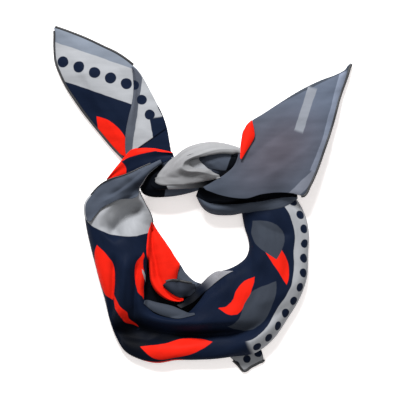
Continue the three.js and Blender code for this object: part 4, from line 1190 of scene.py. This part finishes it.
wrap_profile = table("share rise", [(0, 0), (0.2, 0.62), (0.45, 0.92), (0.65, 1.0), (0.82, 0.96), (1, 0.3)])
wrap = lay(strip(wrap_rows, cell=0.6, profile=follow(wrap_profile, "share", "rise")), skirt=1.5)
wrap, wrap_flat = rippled(wrap, 41, 15, 85, 0.25)
in_turn = np.clip((np.linspace(0, 1, len(wrap))[:, None] - TURN_FROM) / TURN_SHARE, 0, 1)
in_turn = np.clip(np.sin(in_turn * math.pi) * 1.5, 0, 1)
wrap = ridged(wrap, (0.9, 0.82, 0.08), (-1.9, 0.6, 0.14), along=in_turn)
wrap = lay(worked(wrap, creases=[((-44, 62), (-8, 64), -1.6, 2.6, -1)]), skirt=1)
# The dull grey glow over the lower left of the wrap's body is painted shade, where the body turns away from
# the lamp.
finish_cloth("knot_wrap", wrap, WRAP_PALE, [
    ("glow", (42, -5), (32, 14), 0, WRAP_SHADE),
], flat=wrap_flat, turned=[(FIRST_EDGE, 2.6, 175), (LAST_EDGE, 3.0, 180)])

# %% [markdown]
# The edge of the right tail towards the knot is folded back on itself, and a strip of its red side shows.
# A red bar in the print would lie flat, so it is a narrow fold. It is laid last, because it lies over
# both the tail and the end of the wrap.

# %% The strip turned back beside the right tail
right_turn_rows = table("outerX outerY innerX innerY lift arch", [
    (1.26, 2.1, 1.28, 2.05, 0.6, 0), (1.14, 1.86, 1.33, 1.57, 0.65, 0.04),
    (1.06, 1.5, 1.33, 1.29, 0.68, 0.05), (1.02, 1.15, 1.26, 1.0, 0.7, 0.05),
    (1.0, 0.8, 1.14, 0.62, 0.72, 0.03), (0.99, 0.3, 1.02, 0.24, 0.74, 0),
])
right_turn = lay(fold(right_turn_rows, cell=0.5), skirt=2)
finish_cloth("right_tail_turn", right_turn, VERMILION, flat=spread_flat(right_turn))
print("cloth laid, square metres:", round(sum(laid_areas), 4))

# %% [markdown]
# The hem is rolled by hand: the raw edge is turned over a thread and caught with small slanting stitches.
# A loop could copy the stitches one by one, but Geometry Nodes place what repeats along a path, and one
# tree serves every hem. Its sizes are named inputs, so that a thinner hem needs only another number.

# %% Inputs of the hem's tree
hem_nodes = bpy.data.node_groups.new("rolled_hem", "GeometryNodeTree")
hem_inputs = [
    ("Path", "Geometry", None), ("Hem Radius", "Float", 0.0011), ("Stitch Step", "Float", 0.0026),
    ("Thread Radius", "Float", 0.00016), ("Seed", "Int", 7), ("Hem Cloth", "Material", None),
]
hem_sockets = {}
for label, kind, default in hem_inputs:
    socket = hem_nodes.interface.new_socket(label, in_out="INPUT", socket_type="NodeSocket" + kind)
    if default is not None:
        socket.default_value = default
    hem_sockets[label] = socket.identifier
hem_nodes.interface.new_socket("Hem", in_out="OUTPUT", socket_type="NodeSocketGeometry")
print("inputs of the hem's tree:", hem_sockets)

# %% [markdown]
# The tree takes the path of a hem and sweeps a round section along it. A perfect tube would look like a
# wire, so its radius varies a little from place to place. A bent stitch is set at even steps, turned by
# its slant. Both are joined, made real and given their cloth.

# %% The hem's tree
STITCH_SWEEP = math.radians(230)
STITCH_SLANT = (math.radians(28), 0, math.radians(-25))
PATH_STEP = 0.0012


def sweep(tree, line, around, radius):
    """A round section of so many points, swept along a line of the tree."""
    section = add_node(tree, "GeometryNodeCurvePrimitiveCircle", {"Resolution": around, "Radius": radius})
    return add_node(tree, "GeometryNodeCurveToMesh", {
        "Curve": line, "Profile Curve": section.outputs[0], "Fill Caps": True}).outputs[0]


def build_hem(tree):
    """A tube along the path, with slanting stitches round it."""
    given = add_node(tree, "NodeGroupInput").outputs
    even = add_node(tree, "GeometryNodeResampleCurve", {
        "Curve": given["Path"], "Length": PATH_STEP}, mode="LENGTH").outputs[0]
    uneven = add_node(tree, "FunctionNodeRandomValue", {2: 0.9, 3: 1.08, "Seed": given["Seed"]}).outputs[1]
    swelled = add_node(tree, "GeometryNodeSetCurveRadius", {"Curve": even, "Radius": uneven}).outputs[0]
    tube = sweep(tree, swelled, 12, given["Hem Radius"])

    spaced = add_node(tree, "GeometryNodeCurveToPoints", {
        "Curve": given["Path"], "Length": given["Stitch Step"]}, mode="LENGTH").outputs
    bent = add_node(tree, "GeometryNodeCurveArc", {
        "Resolution": 9, "Sweep Angle": STITCH_SWEEP, "Radius": given["Hem Radius"]}).outputs[0]
    slant = add_node(tree, "FunctionNodeRotateRotation", {
        "Rotation": spaced["Rotation"], "Rotate By": STITCH_SLANT}, rotation_space="LOCAL").outputs[0]
    sewn = add_node(tree, "GeometryNodeInstanceOnPoints", {
        "Points": spaced["Points"], "Rotation": slant,
        "Instance": sweep(tree, bent, 5, given["Thread Radius"])}).outputs[0]
    real = add_node(tree, "GeometryNodeRealizeInstances", {0: sewn}).outputs[0]
    both = add_node(tree, "GeometryNodeJoinGeometry", {0: tube})
    set_inputs(tree, both, {0: real})
    clothed = add_node(tree, "GeometryNodeSetMaterial", {
        "Geometry": both.outputs[0], "Material": given["Hem Cloth"]}).outputs[0]
    add_node(tree, "NodeGroupOutput", {0: clothed})


build_hem(hem_nodes)
print("nodes of the hem's tree:", len(hem_nodes.nodes))

# %% [markdown]
# The hem is almost black: the dark side of the same silk, with a dull glint from the sewing thread. The
# printed silk could dress it, but a print can't be read on so thin a roll. A fine grain in its tone and
# bump keeps it from looking like wire.

# %% The hem's cloth
def hem_cloth():
    """The dark twill of the rolled hem."""
    made, tree, shader = new_material("hem_cloth")
    place = add_node(tree, "ShaderNodeTexCoord").outputs["Object"]
    grain = add_node(tree, "ShaderNodeTexNoise", {"Vector": place, "Scale": 900}).outputs["Fac"]
    tone = add_node(tree, "ShaderNodeMix", {"Factor": grain, "A": BLACK_AND_SHADE, "B": HEM_THREAD}, data_type="RGBA")
    bump = add_node(tree, "ShaderNodeBump", {"Height": grain, "Strength": 0.5, "Distance": 0.0003})
    set_inputs(tree, shader, {
        "Base Color": tone.outputs["Result"], "Normal": bump.outputs[0],
        "Roughness": 0.55, "Sheen Weight": 0.2})
    return made


hem_material = hem_cloth()
print("material of the hems:", hem_material.name)

# %% [markdown]
# Each hem runs along part of a sheet's long edge. It could sit right on the edge, but a rolled hem lies
# just outside it, and it never goes below the table. So the path is moved out by a third of the hem and
# held up.

# %% Path of a hem
OUTSIDE = 0.3


def hem_path(grid, column, first, last):
    """The path of a hem along part of one long edge of a sheet: first and last are shares of its length."""
    rows = slice(int(first * (len(grid) - 1)), int(last * (len(grid) - 1)) + 1)
    edge = grid[rows, column]
    out = edge - grid[rows, 1 if column == FIRST_EDGE else column - 1]
    out /= np.maximum(np.linalg.norm(out, axis=1, keepdims=True), 1e-9)
    path = edge + out * HEM * OUTSIDE
    path[:, 2] = np.maximum(path[:, 2] - SILK / 2, HEM / 2)
    return path


print("a hem lies outside its edge by, mm:", HEM * OUTSIDE)

# %% [markdown]
# The path could keep its modifier, but the frame wants plain meshes. So the tree's inputs are set by
# their identifiers, its result is kept as a mesh, and the path is taken away before the hem is hung
# under the root.

# %% A hem along a path
def rolled_hem(name, path, radius=HEM / 2, stands_for=()):
    """A rolled hem with stitches along a path in mm."""
    path = path.copy()
    path[:, :2] += HOLE_MIDDLE
    line = bpy.data.curves.new(name + "_path", "CURVE")
    line.dimensions = "3D"
    spline = line.splines.new("POLY")
    spline.points.add(len(path) - 1)
    spline.points.foreach_set("co", np.column_stack([path * MM, np.ones(len(path))]).ravel())
    carrier = put_in_scene(name + "_path", line)
    roll_up = carrier.modifiers.new("hem", "NODES")
    roll_up.node_group = hem_nodes
    roll_up[hem_sockets["Hem Radius"]] = radius * MM
    roll_up[hem_sockets["Seed"]] = len(path)
    roll_up[hem_sockets["Hem Cloth"]] = hem_material
    ready = carrier.evaluated_get(bpy.context.evaluated_depsgraph_get())
    mesh = bpy.data.meshes.new_from_object(ready)
    mesh.name = name + "_roll"
    smooth(mesh)
    bpy.data.objects.remove(carrier)
    piece = put_in_scene(name + "_roll", mesh)
    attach(piece, "root")
    if stands_for:
        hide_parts(*stands_for)
    print(f"{name}: {len(mesh.polygons)} faces over {run_along(path)[-1]:.0f} mm")
    return piece

# %% [markdown]
# The tails, the pocket and the corner have full hems. Where the strand and the band's inner edge show the
# rolled edge from the side, it looks thinner. A hem could run the whole edge of each sheet, but most go
# in under another fold, so each has its own share of the edge.

# %% Placing the hems
THIN_HEM, THINNEST_HEM = 0.7, 0.6
hems = [
    ("hem_left_tail_top", left_tail, LAST_EDGE, 0.56, 1.0),
    ("hem_left_tail_side", left_tail, FIRST_EDGE, 0.1, 0.986),
    ("hem_right_tail", right_tail, LAST_EDGE, 0.34, 1.0),
    ("hem_pocket", pocket, FIRST_EDGE, 0.1, 0.9),
    ("hem_corner", corner, LAST_EDGE, 0.06, 0.94),
]
for name, grid, column, first, last in hems:
    rolled_hem(name, hem_path(grid, column, first, last), stands_for=(name,))
rolled_hem("hem_strand", hem_path(strand, LAST_EDGE, 0.12, 0.76), radius=THIN_HEM)
inner_side = int(np.argmin(band_across + (band_risen < TOP_FROM)))
rolled_hem("hem_band", hem_path(band, inner_side, 0.085, 0.15), radius=THINNEST_HEM)

# %% [markdown]
# The neckerchief lies on a white table. A plain white surface turns grey wherever the lamps are dim, and
# stronger lamps would bleach the silk. So the table has a trace of its own light, and the shadows on it
# stay pale and warm.

# %% Table
bpy.ops.mesh.primitive_plane_add(size=4, location=(0, 0, -0.0002))
floor = bpy.context.object
floor.name = "table_top"
white, white_tree, white_shader = new_material("white_table")
set_inputs(white_tree, white_shader, {
    "Base Color": (0.93, 0.93, 0.93, 1), "Roughness": 0.6,
    "Emission Color": (1, 0.92, 0.89, 1), "Emission Strength": 0.45})
floor.data.materials.append(white)
print("table, m across:", floor.dimensions.x)

# %% [markdown]
# The light is soft. A sun would draw hard shadows, and a bare white room would draw none. So there is a
# broad lamp beyond the knot, which throws the knot's shadow into the loop, a dim one overhead, and a
# little light from the whole room.

# %% Lights
ROOM_LIGHT = 0.33
world = bpy.data.worlds.new("soft_room")
bpy.context.scene.world = world
world.use_nodes = True
set_inputs(world.node_tree, world.node_tree.nodes["Background"], {
    "Color": (1, 1, 1, 1), "Strength": ROOM_LIGHT})


def lamp(name, place, aim, size, power):
    """A square soft light that looks from one place at another."""
    light = bpy.data.lights.new(name, "AREA")
    light.size = size
    light.energy = power
    holder = put_in_scene(name, light)
    holder.location = place
    holder.rotation_euler = (Vector(aim) - Vector(place)).to_track_quat("-Z", "Y").to_euler()
    print(f"{name}: {Vector(place).length:.2f} m away, {power} W")


lamp("broad_lamp", (-0.25, 1.3, 1.15), (0, 0, 0), size=0.5, power=54)
lamp("overhead_lamp", (0.4, -0.3, 1.8), (0, 0, 0), size=1.4, power=6)

# %% [markdown]
# The view is from straight above. A near camera would show the sides of the band, so this one looks down
# from far off, and the outline is nearly the plan. Its lens is worked out from the width of table that it
# has to show.

# %% Camera
VIEW_WIDTH, CAMERA_HEIGHT = 0.4, 2.5
VIEW_MIDDLE = (-0.0029, -0.0009)
camera = bpy.data.cameras.new("camera")
camera.sensor_width = 36
camera.lens = camera.sensor_width * CAMERA_HEIGHT / VIEW_WIDTH
camera.clip_end = 20
eye = put_in_scene("camera", camera)
eye.location = (*VIEW_MIDDLE, CAMERA_HEIGHT)
bpy.context.scene.camera = eye
bpy.context.scene.view_settings.view_transform = "Standard"
print("lens, mm:", round(camera.lens))
